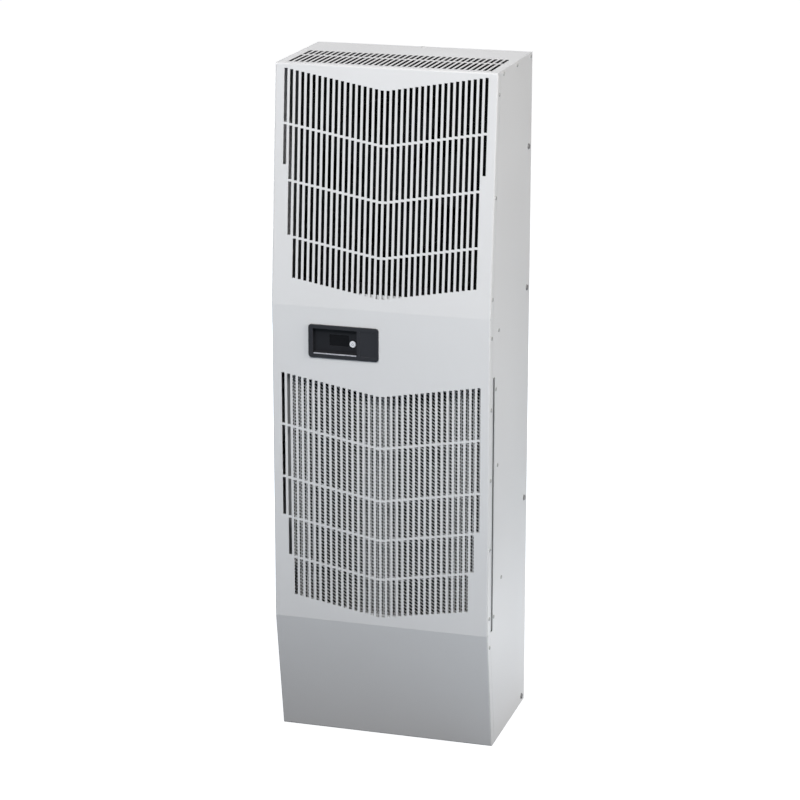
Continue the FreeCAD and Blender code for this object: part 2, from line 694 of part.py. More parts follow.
def back_panel():
    """Flat back with forward flanges, the blower inlet, the cold air outlet and the fixing holes."""
    sheet = block((-INNER_HALF, INNER_HALF), (BACK_INNER_Y, REAR_Y), (0.0, HEIGHT - SHEET))
    flange = block((LINED_HALF, INNER_HALF), (REAR_Y - BACK_FLANGE, REAR_Y),
                   (SHEET + FIT, HEIGHT - SHEET - FIT))
    lip = block((-LINED_HALF, LINED_HALF), (REAR_Y - 2 * REAR_SCREW_INSET, REAR_Y),
                (HEIGHT - 2 * SHEET, HEIGHT - SHEET))
    panel = join([sheet, lip] + both_sides(flange))
    across = (BACK_INNER_Y - CUT, REAR_Y + CUT)
    tools = [
        rod(INLET_RADIUS, (0, across[0], FAN_Z), Y_AXIS, across[1] - across[0]),
        block((-OUTLET_WIDTH / 2, OUTLET_WIDTH / 2), across,
              (OUTLET_Z - OUTLET_HEIGHT / 2, OUTLET_Z + OUTLET_HEIGHT / 2)),
        rod(GLAND_RADIUS + SCREW_HOLE, (GLAND_X, across[0], GLAND_Z), Y_AXIS, across[1] - across[0]),
        rear_screw_hole(),
    ]
    tools += [rod(BOLT_HOLE_RADIUS, (x, across[0], z), Y_AXIS, across[1] - across[0])
              for x, z in rear_bolt_spots()]
    for sign in (-1, 1):
        tools += side_holes(side_bolt_spots(), BOLT_CLEAR, sign)
        tools += side_holes(top_screw_spots(), SCREW_CLEAR, sign)
    return cut_all(panel, tools)


def base_pan():
    """Bottom tray; its front tab lies on the cover's lower lip and studs carry the compressor."""
    front = BOTTOM_EDGE_Y + COVER_LIP + SEAM
    floor = block((-INNER_HALF, INNER_HALF), (front, BACK_INNER_Y), (0.0, SHEET))
    tab_half = LINED_HALF - FIT
    tab = block((-tab_half, tab_half), (BOTTOM_EDGE_Y + SHEET + CORNER_BEND, front + LAP),
                (SHEET, 2 * SHEET))
    wall_front = front_y(0.0, COVER_FLANGE + SEAM + LAP) + CUT
    wall = block((LINED_HALF, INNER_HALF), (wall_front, REAR_Y - BACK_FLANGE - CUT), (0.0, PAN_WALL))
    rear_half = LINED_HALF - FIT
    rear = block((-rear_half, rear_half), (BACK_INNER_Y - SHEET, BACK_INNER_Y), (0.0, PAN_WALL))
    return join([floor, tab, rear] + both_sides(wall))


def mounting_gasket():
    """Foam strips butted round the back that seal the unit to the enclosure wall."""
    outer = HALF - GASKET_INSET
    inner = outer - GASKET_WIDTH
    deep = (REAR_Y, REAR_Y + GASKET_THICK)
    top = HEIGHT - GASKET_INSET
    upright = block((inner, outer), deep, (GASKET_INSET, top))
    lower = block((-inner, inner), deep, (GASKET_INSET, GASKET_INSET + GASKET_WIDTH))
    upper = block((-inner, inner), deep, (top - GASKET_WIDTH, top))
    return Part.makeCompound(both_sides(upright) + [lower, upper])


def weld_nuts():
    nuts = []
    for x, z in rear_bolt_spots():
        start = (x, BACK_INNER_Y - NUT_THICK, z)
        nuts.append(hexagon(NUT_ACROSS, start, Y_AXIS, NUT_THICK)
                    .cut(rod(BOLT_HOLE_RADIUS, start, Y_AXIS, NUT_THICK)))
    return Part.makeCompound(nuts)


# Inner walls


def divider_wall():
    """Upright sheet between the outdoor air in front and the enclosure air behind."""
    half = INNER_HALF - FIT
    deep = (DIVIDER_Y, DIVIDER_Y + SHEET)
    wall = block((-half, half), deep, (SHEET, HEIGHT - SHEET - FIT))
    corner = (LINED_HALF - FIT, INNER_HALF)
    tools = both_sides(block(corner, deep, (0.0, PAN_WALL + FIT)))
    tools += both_sides(block(corner, deep, (HEIGHT - TOP_FLANGE - FIT, HEIGHT)))
    tools += [line_hole(spot) for spot in wall_line_spots()]
    return cut_all(wall, tools)


def deck(z_low, flange_z, rear_y, holes):
    """Inner shelf with end flanges, from the filter rail back to rear_y."""
    half = INNER_HALF - FIT
    sheet = block((-half, half), (RAIL_REAR_Y, rear_y), (z_low, z_low + SHEET))
    flange_rear = min(RAIL_REAR_Y + DECK_FLANGE_DEPTH, rear_y)
    flange = block((half - SHEET, half), (RAIL_REAR_Y, flange_rear), flange_z)
    shelf = join([sheet] + both_sides(flange))
    tools = list(holes)
    for sign in (-1, 1):
        tools += side_holes(bracket_screw_spots(False), SCREW_CLEAR, sign)
    return cut_all(shelf, tools)


def lower_deck():
    z_low = LOWER_DECK_TOP - SHEET
    return deck(z_low, (z_low, z_low + DECK_FLANGE), DIVIDER_Y, [line_hole(s) for s in deck_line_spots()])


def upper_deck():
    return deck(UPPER_DECK_BOTTOM, (UPPER_DECK_TOP - DECK_FLANGE, UPPER_DECK_TOP), BOX_REAR_Y, [])


def fan_shelf():
    """Shelf under the fan chamber, with an upturned lip behind the cover."""
    nose = front_y(SHELF_TOP + SHELF_LIP, SHEET) + SHELF_NOSE_GAP
    wide_front = front_y(SHELF_TOP, COVER_FLANGE + SEAM + LAP) + FIT
    wide = INNER_HALF - FIT
    narrow = LINED_HALF - FIT
    shelf = block((-narrow, narrow), (nose, wide_front), (SHELF_Z, SHELF_TOP))
    back = block((-wide, wide), (wide_front, FAN_DECK_Y + SHEET), (SHELF_Z, SHELF_TOP))
    lip = block((-narrow, narrow), (nose, nose + SHEET), (SHELF_Z, SHELF_TOP + SHELF_LIP))
    return join([shelf, back, lip])


def fan_deck():
    """Wall with the condenser fan's orifice and rolled venturi ring."""
    half = INNER_HALF - FIT
    deep = (FAN_DECK_Y, FAN_DECK_Y + SHEET)
    wall = block((-half, half), deep, (SHELF_TOP, HEIGHT - SHEET - FIT))
    corner = (LINED_HALF - FIT, INNER_HALF)
    notches = both_sides(block(corner, deep, (HEIGHT - TOP_FLANGE - FIT, HEIGHT)))
    centre = (0, FAN_DECK_Y - VENTURI_LENGTH, FAN_Z)
    lining = rod(ORIFICE_RADIUS + SHEET, centre, Y_AXIS, VENTURI_LENGTH)
    bore = rod(ORIFICE_RADIUS, centre, Y_AXIS, VENTURI_LENGTH + SHEET)
    return join([wall, lining]).cut(bore).cut(Part.makeCompound(notches))


# Air filter


def filter_rails():
    """Channels above and below the filter, each with a stop at its left end."""
    half = LINED_HALF - FIT
    deep = (RAIL_FRONT_Y, RAIL_REAR_Y)

    def channel(web_low, legs):
        web = block((-half, half), deep, (web_low, web_low + RAIL_WALL))
        front = block((-half, half), (deep[0], deep[0] + RAIL_WALL), legs)
        rear = block((-half, half), (deep[1] - RAIL_WALL, deep[1]), legs)
        stop = block((FILTER_LEFT - FIT - RAIL_WALL, FILTER_LEFT - FIT), deep, legs)
        return join([web, front, rear, stop])

    low = FILTER_Z - FIT - RAIL_WALL
    high = FILTER_TOP + FIT
    return Part.makeCompound([
        channel(low, (low, low + RAIL_LEG)),
        channel(high, (high + RAIL_WALL - RAIL_LEG, high + RAIL_WALL)),
    ])


def filter_frame():
    """Folded border of the filter, grooved inside for the mesh."""
    deep = (FILTER_Y, FILTER_Y + FILTER_THICK)
    frame = block((FILTER_LEFT, FILTER_RIGHT), deep, (FILTER_Z, FILTER_TOP))
    opening = filter_opening(0.0, deep)
    middle = FILTER_Y + FILTER_THICK / 2
    groove_half = FILTER_MEDIA / 2 + FIT
    groove = filter_opening(FILTER_GROOVE + FIT, (middle - groove_half, middle + groove_half))
    return frame.cut(join([opening, groove]))


def filter_opening(grow, deep):
    border = FILTER_BORDER - grow
    return block((FILTER_LEFT + border, FILTER_RIGHT - border), deep,
                 (FILTER_Z + border, FILTER_TOP - border))


def filter_media():
    middle = FILTER_Y + FILTER_THICK / 2
    return filter_opening(FILTER_GROOVE, (middle - FILTER_MEDIA / 2, middle + FILTER_MEDIA / 2))


# Coils


def flat_tube_coil(tube_length, depth, header_radius, header_length):
    """Core and fins of a brazed coil: flat tubes along X, stacked up Z between two D-shaped headers.

    Built about X = 0 and Y = 0 with the headers standing on Z = 0.
    """
    centre = tube_length / 2 + HEADER_FLAT
    headers = []
    for sign in (-1, 1):
        flat = sorted((sign * tube_length / 2, sign * centre))
        half_pipe = rod(header_radius, (sign * centre, 0, 0), Z_AXIS, header_length)
        outside = sorted((sign * centre, sign * (centre + header_radius)))
        half_pipe = half_pipe.common(block(outside, (-header_radius, header_radius), (0, header_length)))
        headers.append(join([block(flat, (-header_radius, header_radius), (0, header_length)), half_pipe]))
    count = int((header_length - 2 * HEADER_MARGIN) / TUBE_PITCH) + 1
    first = (header_length - (count - 1) * TUBE_PITCH) / 2
    fin_half = tube_length / 2 - FIN_GAP
    tubes = []
    fins = []
    for k in range(count):
        z = first + k * TUBE_PITCH
        tubes.append(block((-tube_length / 2, tube_length / 2), (-depth / 2, depth / 2),
                           (z - TUBE_THICK / 2, z + TUBE_THICK / 2)))
        if k:
            fins.append(block((-fin_half, fin_half), (-depth / 2, depth / 2),
                              (z - TUBE_PITCH + TUBE_THICK / 2, z - TUBE_THICK / 2)))
    return join(headers + tubes), Part.makeCompound(fins)


def condenser():
    length = 2 * (CONDENSER_HEADER_X - HEADER_FLAT)
    parts = flat_tube_coil(length, CONDENSER_DEPTH, CONDENSER_HEADER, CONDENSER_LENGTH)
    for part in parts:
        part.translate(Vector(0, CONDENSER_Y, LOWER_DECK_TOP))
    return parts


def coil_saddles():
    """Rubber saddles that hold the condenser's header pipes off the side panels."""
    saddle = block((CONDENSER_HEADER_X + SADDLE_GRIP, INNER_HALF),
                   (CONDENSER_Y - SADDLE_DEPTH / 2, CONDENSER_Y + SADDLE_DEPTH / 2),
                   (COIL_SCREW_Z - SADDLE_HEIGHT / 2, COIL_SCREW_Z + SADDLE_HEIGHT / 2))
    pipe = rod(CONDENSER_HEADER + FIT, (CONDENSER_HEADER_X, CONDENSER_Y, COIL_SCREW_Z - SADDLE_HEIGHT),
               Z_AXIS, 2 * SADDLE_HEIGHT)
    hole = side_holes([(CONDENSER_Y, COIL_SCREW_Z)], SCREW_CLEAR)
    saddle = saddle.cut(pipe).cut(Part.makeCompound(hole))
    return Part.makeCompound(both_sides(saddle))


def evaporator():
    width = 2 * (INNER_HALF - EVAPORATOR_END_GAP)
    parts = flat_tube_coil(EVAPORATOR_TUBE, EVAPORATOR_DEPTH, EVAPORATOR_HEADER, width)
    for part in parts:
        part.translate(Vector(0, 0, -width / 2))
        part.rotate(ORIGIN, Y_AXIS, 90)
        part.rotate(ORIGIN, X_AXIS, -EVAPORATOR_LEAN)
        part.translate(Vector(0, EVAPORATOR_Y, EVAPORATOR_Z))
    return parts


def evaporator_baffle():
    """Strip that closes the gap between the evaporator's top pipe and the back panel."""
    half = LINED_HALF - FIT
    top = EVAPORATOR_TOP_Z + EVAPORATOR_HEADER + FIT
    front = EVAPORATOR_TOP_Y - EVAPORATOR_HEADER
    sheet = block((-half, half), (front, BACK_INNER_Y), (top, top + THIN_SHEET))
    flange = block((-half, half), (BACK_INNER_Y - THIN_SHEET, BACK_INNER_Y), (top, top + COVER_LIP))
    return join([sheet, flange])


def condensate_pan():
    """Drip tray in which the evaporator stands."""
    half = LINED_HALF - FIT
    front = BLOWER_MOTOR_Y
    low = DRIP_FLOOR - THIN_SHEET
    tray = block((-half, half), (front, front + DRIP_DEPTH), (low, DRIP_FLOOR + DRIP_HEIGHT))
    hollow = block((-half + THIN_SHEET, half - THIN_SHEET),
                   (front + THIN_SHEET, front + DRIP_DEPTH - THIN_SHEET),
                   (DRIP_FLOOR, DRIP_FLOOR + DRIP_HEIGHT + CUT))
    drain = rod(DRAIN_RADIUS - DRAIN_WALL, (DRAIN_X, front + DRAIN_INSET, low - CUT), Z_AXIS,
                2 * CUT + THIN_SHEET)
    return tray.cut(hollow).cut(drain)


def drain_tube():
    top = DRIP_FLOOR - THIN_SHEET
    bottom = SHEET + FIT
    return ring(DRAIN_RADIUS, DRAIN_RADIUS - DRAIN_WALL,
                (DRAIN_X, BLOWER_MOTOR_Y + DRAIN_INSET, bottom), Z_AXIS, top - bottom)


# Compressor and refrigerant lines


def foot_spots():
    return [(COMPRESSOR_X + i * FOOT_SPAN_X / 2, COMPRESSOR_Y + j * FOOT_SPAN_Y / 2)
            for i in (-1, 1) for j in (-1, 1)]


def compressor():
    """Hermetic shell with a weld seam, terminal cover and foot plate."""
    shell = capsule(COMPRESSOR_RADIUS, COMPRESSOR_WALL_HEIGHT, 0.0, COMPRESSOR_DOME,
                    (COMPRESSOR_X, COMPRESSOR_Y, SHELL_Z))
    bead = rod(COMPRESSOR_RADIUS + SEAM_BEAD,
               (COMPRESSOR_X, COMPRESSOR_Y, SHELL_Z + COMPRESSOR_WALL_HEIGHT - COMPRESSOR_DOME),
               Z_AXIS, SEAM_BEAD_HEIGHT)
    length, depth, height = TERMINAL_COVER
    terminal_x = COMPRESSOR_X - COMPRESSOR_RADIUS
    terminals = block((terminal_x - depth / 2, terminal_x + depth),
                      (COMPRESSOR_Y - length / 2, COMPRESSOR_Y + length / 2),
                      (SHELL_Z + COMPRESSOR_WALL_HEIGHT / 2 - height / 2,
                       SHELL_Z + COMPRESSOR_WALL_HEIGHT / 2 + height / 2))
    plate_x = FOOT_SPAN_X / 2 + FOOT_EDGE
    plate_y = FOOT_SPAN_Y / 2 + FOOT_EDGE
    plate = block((COMPRESSOR_X - plate_x, COMPRESSOR_X + plate_x),
                  (COMPRESSOR_Y - plate_y, COMPRESSOR_Y + plate_y), (FOOT_Z, SHELL_Z))
    plate = plate.makeFillet(FOOT_EDGE - FIT, [e for e in plate.Edges if abs(e.Length - FOOT_PLATE) < FIT])
    holes = [rod(STUD_RADIUS + FIT, (x, y, FOOT_Z), Z_AXIS, FOOT_PLATE) for x, y in foot_spots()]
    return join([shell, bead, terminals, cut_all(plate, holes)])


def compressor_grommets():
    return Part.makeCompound([
        ring(GROMMET_RADIUS, STUD_RADIUS + FIT, (x, y, SHEET), Z_AXIS, FOOT_LIFT) for x, y in foot_spots()
    ])


def compressor_studs():
    """Studs on the base pan, each with its nut on the foot plate."""
    studs = []
    for x, y in foot_spots():
        stud = rod(STUD_RADIUS, (x, y, SHEET), Z_AXIS, FOOT_LIFT + FOOT_PLATE + NUT_THICK + STUD_TIP)
        studs.append(join([stud, hexagon(NUT_ACROSS, (x, y, SHELL_Z), Z_AXIS, NUT_THICK)]))
    return Part.makeCompound(studs)


def accumulator(shell):
    """Suction accumulator with the short stub that carries it on the compressor's side."""
    vessel = capsule(ACCUMULATOR_RADIUS, ACCUMULATOR_WALL_HEIGHT, ACCUMULATOR_DOME, ACCUMULATOR_DOME,
                     (ACCUMULATOR_X, ACCUMULATOR_Y, ACCUMULATOR_Z))
    height = ACCUMULATOR_Z + ACCUMULATOR_DOME + STUB_LIFT
    stub = rod(STUB_RADIUS, (COMPRESSOR_X, COMPRESSOR_Y, height),
               Vector(ACCUMULATOR_X - COMPRESSOR_X, ACCUMULATOR_Y - COMPRESSOR_Y, 0),
               math.hypot(ACCUMULATOR_X - COMPRESSOR_X, ACCUMULATOR_Y - COMPRESSOR_Y))
    return join([vessel, stub.cut(shell)])


def filter_drier():
    profile = [
        profile_line((0, 0), (LIQUID_RADIUS, 0)),
        profile_line((LIQUID_RADIUS, 0), (DRIER_RADIUS, DRIER_CONE)),
        profile_line((DRIER_RADIUS, DRIER_CONE), (DRIER_RADIUS, DRIER_LENGTH - DRIER_CONE)),
        profile_line((DRIER_RADIUS, DRIER_LENGTH - DRIER_CONE), (LIQUID_RADIUS, DRIER_LENGTH)),
        profile_line((LIQUID_RADIUS, DRIER_LENGTH), (0, DRIER_LENGTH)),
        profile_line((0, DRIER_LENGTH), (0, 0)),
    ]
    return turned(profile, (DRIER_X, DRIER_Y, DRIER_Z))


def drier_clamp():
    """Strap round the drier with an arm and foot on the right side panel."""
    low = CLAMP_Z - CLAMP_HEIGHT / 2
    inside = DRIER_RADIUS + FIT
    band = ring(inside + CLAMP_WALL, inside, (DRIER_X, DRIER_Y, low), Z_AXIS, CLAMP_HEIGHT)
    front = DRIER_Y - DRIER_RADIUS - FIT - CLAMP_WALL
    arm = block((DRIER_X, INNER_HALF), (front, front + CLAMP_WALL), (low, low + CLAMP_HEIGHT))
    screw_y = FRONT_Y + CLAMP_SCREW_SETBACK
    foot = block((INNER_HALF - CLAMP_WALL, INNER_HALF),
                 (min(screw_y, front) - CLAMP_FOOT / 2, max(screw_y, front) + CLAMP_WALL),
                 (low, low + CLAMP_HEIGHT))
    hole = side_holes([(screw_y, CLAMP_Z)], SCREW_CLEAR)
    return cut_all(join([band, arm, foot]), hole)


def discharge_route():
    inlet = LOWER_DECK_TOP + CONDENSER_LENGTH - LINE_TAP
    return [
        (COMPRESSOR_X, COMPRESSOR_Y, SHELL_TOP - COMPRESSOR_DOME),
        (COMPRESSOR_X, COMPRESSOR_Y, LINE_RUN_Z),
        (-CONDENSER_HEADER_X, COMPRESSOR_Y, LINE_RUN_Z),
        (-CONDENSER_HEADER_X, COMPRESSOR_Y, inlet),
        (-CONDENSER_HEADER_X, CONDENSER_Y, inlet),
    ]


def suction_route():
    return [
        (ACCUMULATOR_X, ACCUMULATOR_Y, ACCUMULATOR_TOP - ACCUMULATOR_DOME),
        (ACCUMULATOR_X, ACCUMULATOR_Y, EVAPORATOR_TOP_Z),
        (ACCUMULATOR_X, EVAPORATOR_TOP_Y, EVAPORATOR_TOP_Z),
    ]


def liquid_route():
    outlet = LOWER_DECK_TOP + LINE_TAP - LIQUID_BEND
    return [
        (CONDENSER_HEADER_X, CONDENSER_Y, outlet),
        (CONDENSER_HEADER_X, DRIER_Y, outlet),
        (DRIER_X, DRIER_Y, outlet),
        (DRIER_X, DRIER_Y, DRIER_Z),
    ]


def expansion_route():
    return [
        (DRIER_X, DRIER_Y, DRIER_Z + DRIER_LENGTH),
        (DRIER_X, DRIER_Y, EVAPORATOR_TOP_Z),
        (DRIER_X, EVAPORATOR_TOP_Y, EVAPORATOR_TOP_Z),
    ]


def deck_line_spots():
    """Lines that rise through the lower deck: centre, direction, radius."""
    z = LOWER_DECK_TOP - SHEET
    return [
        ((COMPRESSOR_X, COMPRESSOR_Y, z), Z_AXIS, DISCHARGE_RADIUS),
        ((ACCUMULATOR_X, ACCUMULATOR_Y, z), Z_AXIS, SUCTION_RADIUS),
    ]


def wall_line_spots():
    """Lines that run back through the divider wall."""
    return [
        ((ACCUMULATOR_X, DIVIDER_Y, EVAPORATOR_TOP_Z), Y_AXIS, SUCTION_RADIUS),
        ((DRIER_X, DIVIDER_Y, EVAPORATOR_TOP_Z), Y_AXIS, EXPANSION_RADIUS),
    ]


def line_hole(spot):
    centre, direction, radius = spot
    start = Vector(*centre) - direction * CUT
    return rod(radius + GROMMET_LAND, start, direction, SHEET + 2 * CUT)


def line_grommets():
    """Rubber grommets where the lines pass through sheet metal."""
    grommets = []
    for centre, direction, radius in deck_line_spots() + wall_line_spots():
        start = Vector(*centre) - direction * GROMMET_LIP_THICK
        length = SHEET + 2 * GROMMET_LIP_THICK
        lip = radius + GROMMET_LAND + GROMMET_LIP
        near = rod(lip, start, direction, GROMMET_LIP_THICK)
        neck = rod(radius + GROMMET_LAND - RUNNING_FIT, start, direction, length)
        far = rod(lip, Vector(*centre) + direction * SHEET, direction, GROMMET_LIP_THICK)
        grommets.append(join([near, neck, far]).cut(rod(radius + RUNNING_FIT, start, direction, length)))
    return Part.makeCompound(grommets)


# Fans


def section_wire(radius, chord, pitch, azimuth, middle_y):
    """Lens-shaped blade section on the plane that touches the circle of this radius."""
    out = Vector(math.cos(azimuth), 0, math.sin(azimuth))
    around = Vector(-math.sin(azimuth), 0, math.cos(azimuth))
    along = around * math.cos(pitch) + Y_AXIS * math.sin(pitch)
    normal = Y_AXIS * math.cos(pitch) - around * math.sin(pitch)
    centre = out * radius + Vector(0, middle_y, FAN_Z)
    lead = centre - along * (chord / 2)
    trail = centre + along * (chord / 2)
    rise = normal * (chord * FAN_CAMBER)
    half = normal * (FAN_BLADE_THICK / 2)
    upper = Part.Arc(lead, centre + rise + half, trail).toShape()
    lower = Part.Arc(trail, centre + rise - half, lead).toShape()
    return Part.Wire([upper, lower])


def condenser_fan():
    """Cup-shaped hub with twisted blades, trimmed to run inside the venturi."""
    centre = (0, FAN_HUB_Y, FAN_Z)
    hub = rod(FAN_HUB_RADIUS, centre, Y_AXIS, FAN_HUB_LENGTH)
    middle_y = FAN_HUB_Y + FAN_HUB_LENGTH / 2
    inner = FAN_HUB_RADIUS - FAN_HUB_WALL
    sweep = rod(FAN_RADIUS, (0, FAN_HUB_Y - FAN_RADIUS, FAN_Z), Y_AXIS, 2 * FAN_RADIUS)
    core = rod(inner, (0, FAN_HUB_Y - FAN_RADIUS, FAN_Z), Y_AXIS, 2 * FAN_RADIUS)
    solids = [hub]
    for k in range(FAN_BLADES):
        azimuth = 2 * math.pi * k / FAN_BLADES
        root = section_wire(inner - FAN_HUB_WALL, FAN_ROOT_CHORD, math.radians(FAN_ROOT_PITCH),
                            azimuth, middle_y)
        tip = section_wire(FAN_RADIUS + FAN_TRIM, FAN_TIP_CHORD, math.radians(FAN_TIP_PITCH),
                           azimuth, middle_y)
        solids.append(Part.makeLoft([root, tip], True, True).common(sweep).cut(core))
    fan = join(solids)
    hollow = ring(inner, FAN_BOSS_RADIUS, (0, FAN_HUB_Y + FAN_HUB_WALL, FAN_Z), Y_AXIS, FAN_HUB_LENGTH)
    bore = rod(SHAFT_RADIUS + RUNNING_FIT, (0, FAN_HUB_Y + FAN_HUB_WALL, FAN_Z), Y_AXIS, FAN_HUB_LENGTH)
    return fan.cut(hollow).cut(bore)


def motor_body(face_y, length, sign):
    """Motor can with chamfered ends and a blind shaft bore, from its face at face_y along sign Y."""
    can = rod(MOTOR_RADIUS, (0, face_y, FAN_Z), Y_AXIS * sign, length)
    can = can.makeChamfer(MOTOR_CHAMFER, [e for e in can.Edges if e.Closed])
    bore = rod(SHAFT_RADIUS + RUNNING_FIT, (0, face_y, FAN_Z), Y_AXIS * sign, SHAFT_IN_MOTOR)
    return can.cut(bore)


def condenser_motor_mount():
    """Flat spider on the back of the fan deck that carries the motor."""
    start = (0, SPIDER_Y, FAN_Z)
    reach = ORIFICE_RADIUS + SPIDER_LAP
    half = SPIDER_ARM_WIDTH / 2
    arm = block((-reach, reach), (SPIDER_Y, MOTOR_Y), (FAN_Z - half, FAN_Z + half))
    arms = []
    for angle in (45, -45):
        turned_arm = arm.copy()
        turned_arm.rotate(Vector(*start), Y_AXIS, angle)
        arms.append(turned_arm)
    spider = join([rod(SPIDER_RING, start, Y_AXIS, SPIDER_THICK)] + arms)
    return spider.cut(rod(SPIDER_EYE, start, Y_AXIS, SPIDER_THICK))


def condenser_shaft():
    start = FAN_HUB_Y + FAN_HUB_WALL + FIT
    end = MOTOR_Y + SHAFT_IN_MOTOR - FIT
    return rod(SHAFT_RADIUS, (0, start, FAN_Z), Y_AXIS, end - start)


def blower_wheel():
    """Backward-curved wheel: back disc, eye ring and blades bent from plain sheet."""
    disc = rod(WHEEL_RADIUS, (0, WHEEL_Y, FAN_Z), Y_AXIS, WHEEL_DISC)
    eye = INLET_THROAT + THIN_SHEET + EYE_GAP
    shroud = ring(WHEEL_RADIUS, eye, (0, WHEEL_FRONT_Y - WHEEL_DISC, FAN_Z), Y_AXIS, WHEEL_DISC)
    hub = rod(WHEEL_HUB_RADIUS, (0, WHEEL_Y, FAN_Z), Y_AXIS, WHEEL_HUB_LENGTH)
    solids = [disc, shroud, hub]
    start_y = WHEEL_Y + WHEEL_DISC
    length = WHEEL_WIDTH - 2 * WHEEL_DISC
    keep = ring(WHEEL_RADIUS, WHEEL_BLADE_START, (0, start_y, FAN_Z), Y_AXIS, length)
    mean = (WHEEL_RADIUS + WHEEL_BLADE_START) / 2
    for k in range(WHEEL_BLADES):
        angle = 2 * math.pi * k / WHEEL_BLADES
        centre = (mean * math.cos(angle), start_y, FAN_Z + mean * math.sin(angle))
        bend = ring(WHEEL_BLADE_RADIUS, WHEEL_BLADE_RADIUS - WHEEL_BLADE_THICK, centre, Y_AXIS, length)
        sector = blade_sector(angle, start_y, length)
        solids.append(bend.common(keep).common(sector))
    wheel = join(solids)
    return wheel.cut(rod(SHAFT_RADIUS + RUNNING_FIT, (0, WHEEL_Y - CUT, FAN_Z), Y_AXIS, WHEEL_HUB_LENGTH))


def blade_sector(angle, start_y, length):
    """Half-space wedge that keeps one of the two places where a blade's bend crosses the wheel."""
    reach = 2 * WHEEL_RADIUS
    wedge = block((-reach, reach), (0, length), (0, reach))
    wedge.rotate(ORIGIN, Y_AXIS, -math.degrees(angle))
    wedge.translate(Vector(0, start_y, FAN_Z))
    return wedge


def blower_shaft():
    start = BLOWER_MOTOR_Y + BLOWER_MOTOR_LENGTH - SHAFT_IN_MOTOR + FIT
    end = WHEEL_Y + WHEEL_HUB_LENGTH - CUT - FIT
    return rod(SHAFT_RADIUS, (0, start, FAN_Z), Y_AXIS, end - start)


def blower_inlet_ring():
    """Spun inlet cone between the back panel and the wheel's eye."""
    deep = INLET_DEPTH
    wall = THIN_SHEET
    mouth = INLET_RADIUS + INLET_FLANGE
    outline = [
        (INLET_RADIUS, 0), (mouth, 0), (mouth, wall), (INLET_RADIUS + wall, wall),
        (INLET_THROAT + wall, deep / 2), (INLET_THROAT + wall, deep), (INLET_THROAT, deep),
        (INLET_THROAT, deep / 2), (INLET_RADIUS, 0),
    ]
    edges = [profile_line(a, b) for a, b in zip(outline, outline[1:])]
    return turned(edges, (0, BACK_INNER_Y, FAN_Z), -Y_AXIS)


def blower_guard():
    """Finger guard: rings and two crossed bars over the blower inlet."""
    start = (0, REAR_Y, FAN_Z)
    outer = INLET_RADIUS + GUARD_LAP
    solids = []
    for k in range(GUARD_RINGS):
        radius = outer * (k + 1) / GUARD_RINGS
        solids.append(ring(radius, radius - GUARD_WIRE, start, Y_AXIS, GUARD_WIRE))
    half = GUARD_WIRE / 2
    deep = (REAR_Y, REAR_Y + GUARD_WIRE)
    solids.append(block((-outer + half, outer - half), deep, (FAN_Z - half, FAN_Z + half)))
    solids.append(block((-half, half), deep, (FAN_Z - outer + half, FAN_Z + outer - half)))
    return join(solids)


def outlet_grille():
    """Slatted frame in the cold air outlet."""
    half_w = OUTLET_WIDTH / 2
    half_h = OUTLET_HEIGHT / 2
    rim = block((-half_w - OUTLET_BORDER, half_w + OUTLET_BORDER), (REAR_Y, REAR_Y + OUTLET_WALL),
                (OUTLET_Z - half_h - OUTLET_BORDER, OUTLET_Z + half_h + OUTLET_BORDER))
    depth = (REAR_Y - OUTLET_SLAT_DEPTH, REAR_Y + OUTLET_WALL)
    sleeve = block((-half_w + FIT, half_w - FIT), depth, (OUTLET_Z - half_h + FIT, OUTLET_Z + half_h - FIT))
    edge = FIT + OUTLET_WALL
    hole = block((-half_w + edge, half_w - edge), (depth[0] - CUT, depth[1] + CUT),
                 (OUTLET_Z - half_h + edge, OUTLET_Z + half_h - edge))
    frame = join([rim, sleeve]).cut(hole)
    count = int((OUTLET_HEIGHT - 2 * edge) / OUTLET_SLAT_PITCH)
    first = OUTLET_Z - (count - 1) * OUTLET_SLAT_PITCH / 2
    slats = []
    for k in range(count):
        z = first + k * OUTLET_SLAT_PITCH
        outline = [
            (depth[0], z), (depth[1], z - OUTLET_SLAT_DEPTH / 2),
            (depth[1], z - OUTLET_SLAT_DEPTH / 2 + OUTLET_SLAT_THICK), (depth[0], z + OUTLET_SLAT_THICK),
        ]
        slats.append(prism_x(outline, -half_w + FIT, half_w - FIT))
    return join([frame] + slats)


# Controls


def bezel_block(border, y_low, y_high):
    """A block with the bezel's outline drawn in by `border`."""
    half_w = BEZEL_WIDTH / 2 - border
    half_h = BEZEL_HEIGHT / 2 - border
    return block((BEZEL_X - half_w, BEZEL_X + half_w), (y_low, y_high), (BEZEL_Z - half_h, BEZEL_Z + half_h))


def window_span():
    left = BEZEL_LEFT + WINDOW_LEFT
    return (left, left + WINDOW_WIDTH), (BEZEL_Z - BEZEL_HEIGHT / 2 + WINDOW_INSET, BEZEL_TOP - WINDOW_INSET)


def lens_block(grow, deep):
    left = BEZEL_LEFT + LENS_LEFT
    top = BEZEL_TOP - LENS_DROP
    return block((left - grow, left + LENS_WIDTH + grow), deep, (top - LENS_HEIGHT - grow, top + grow))


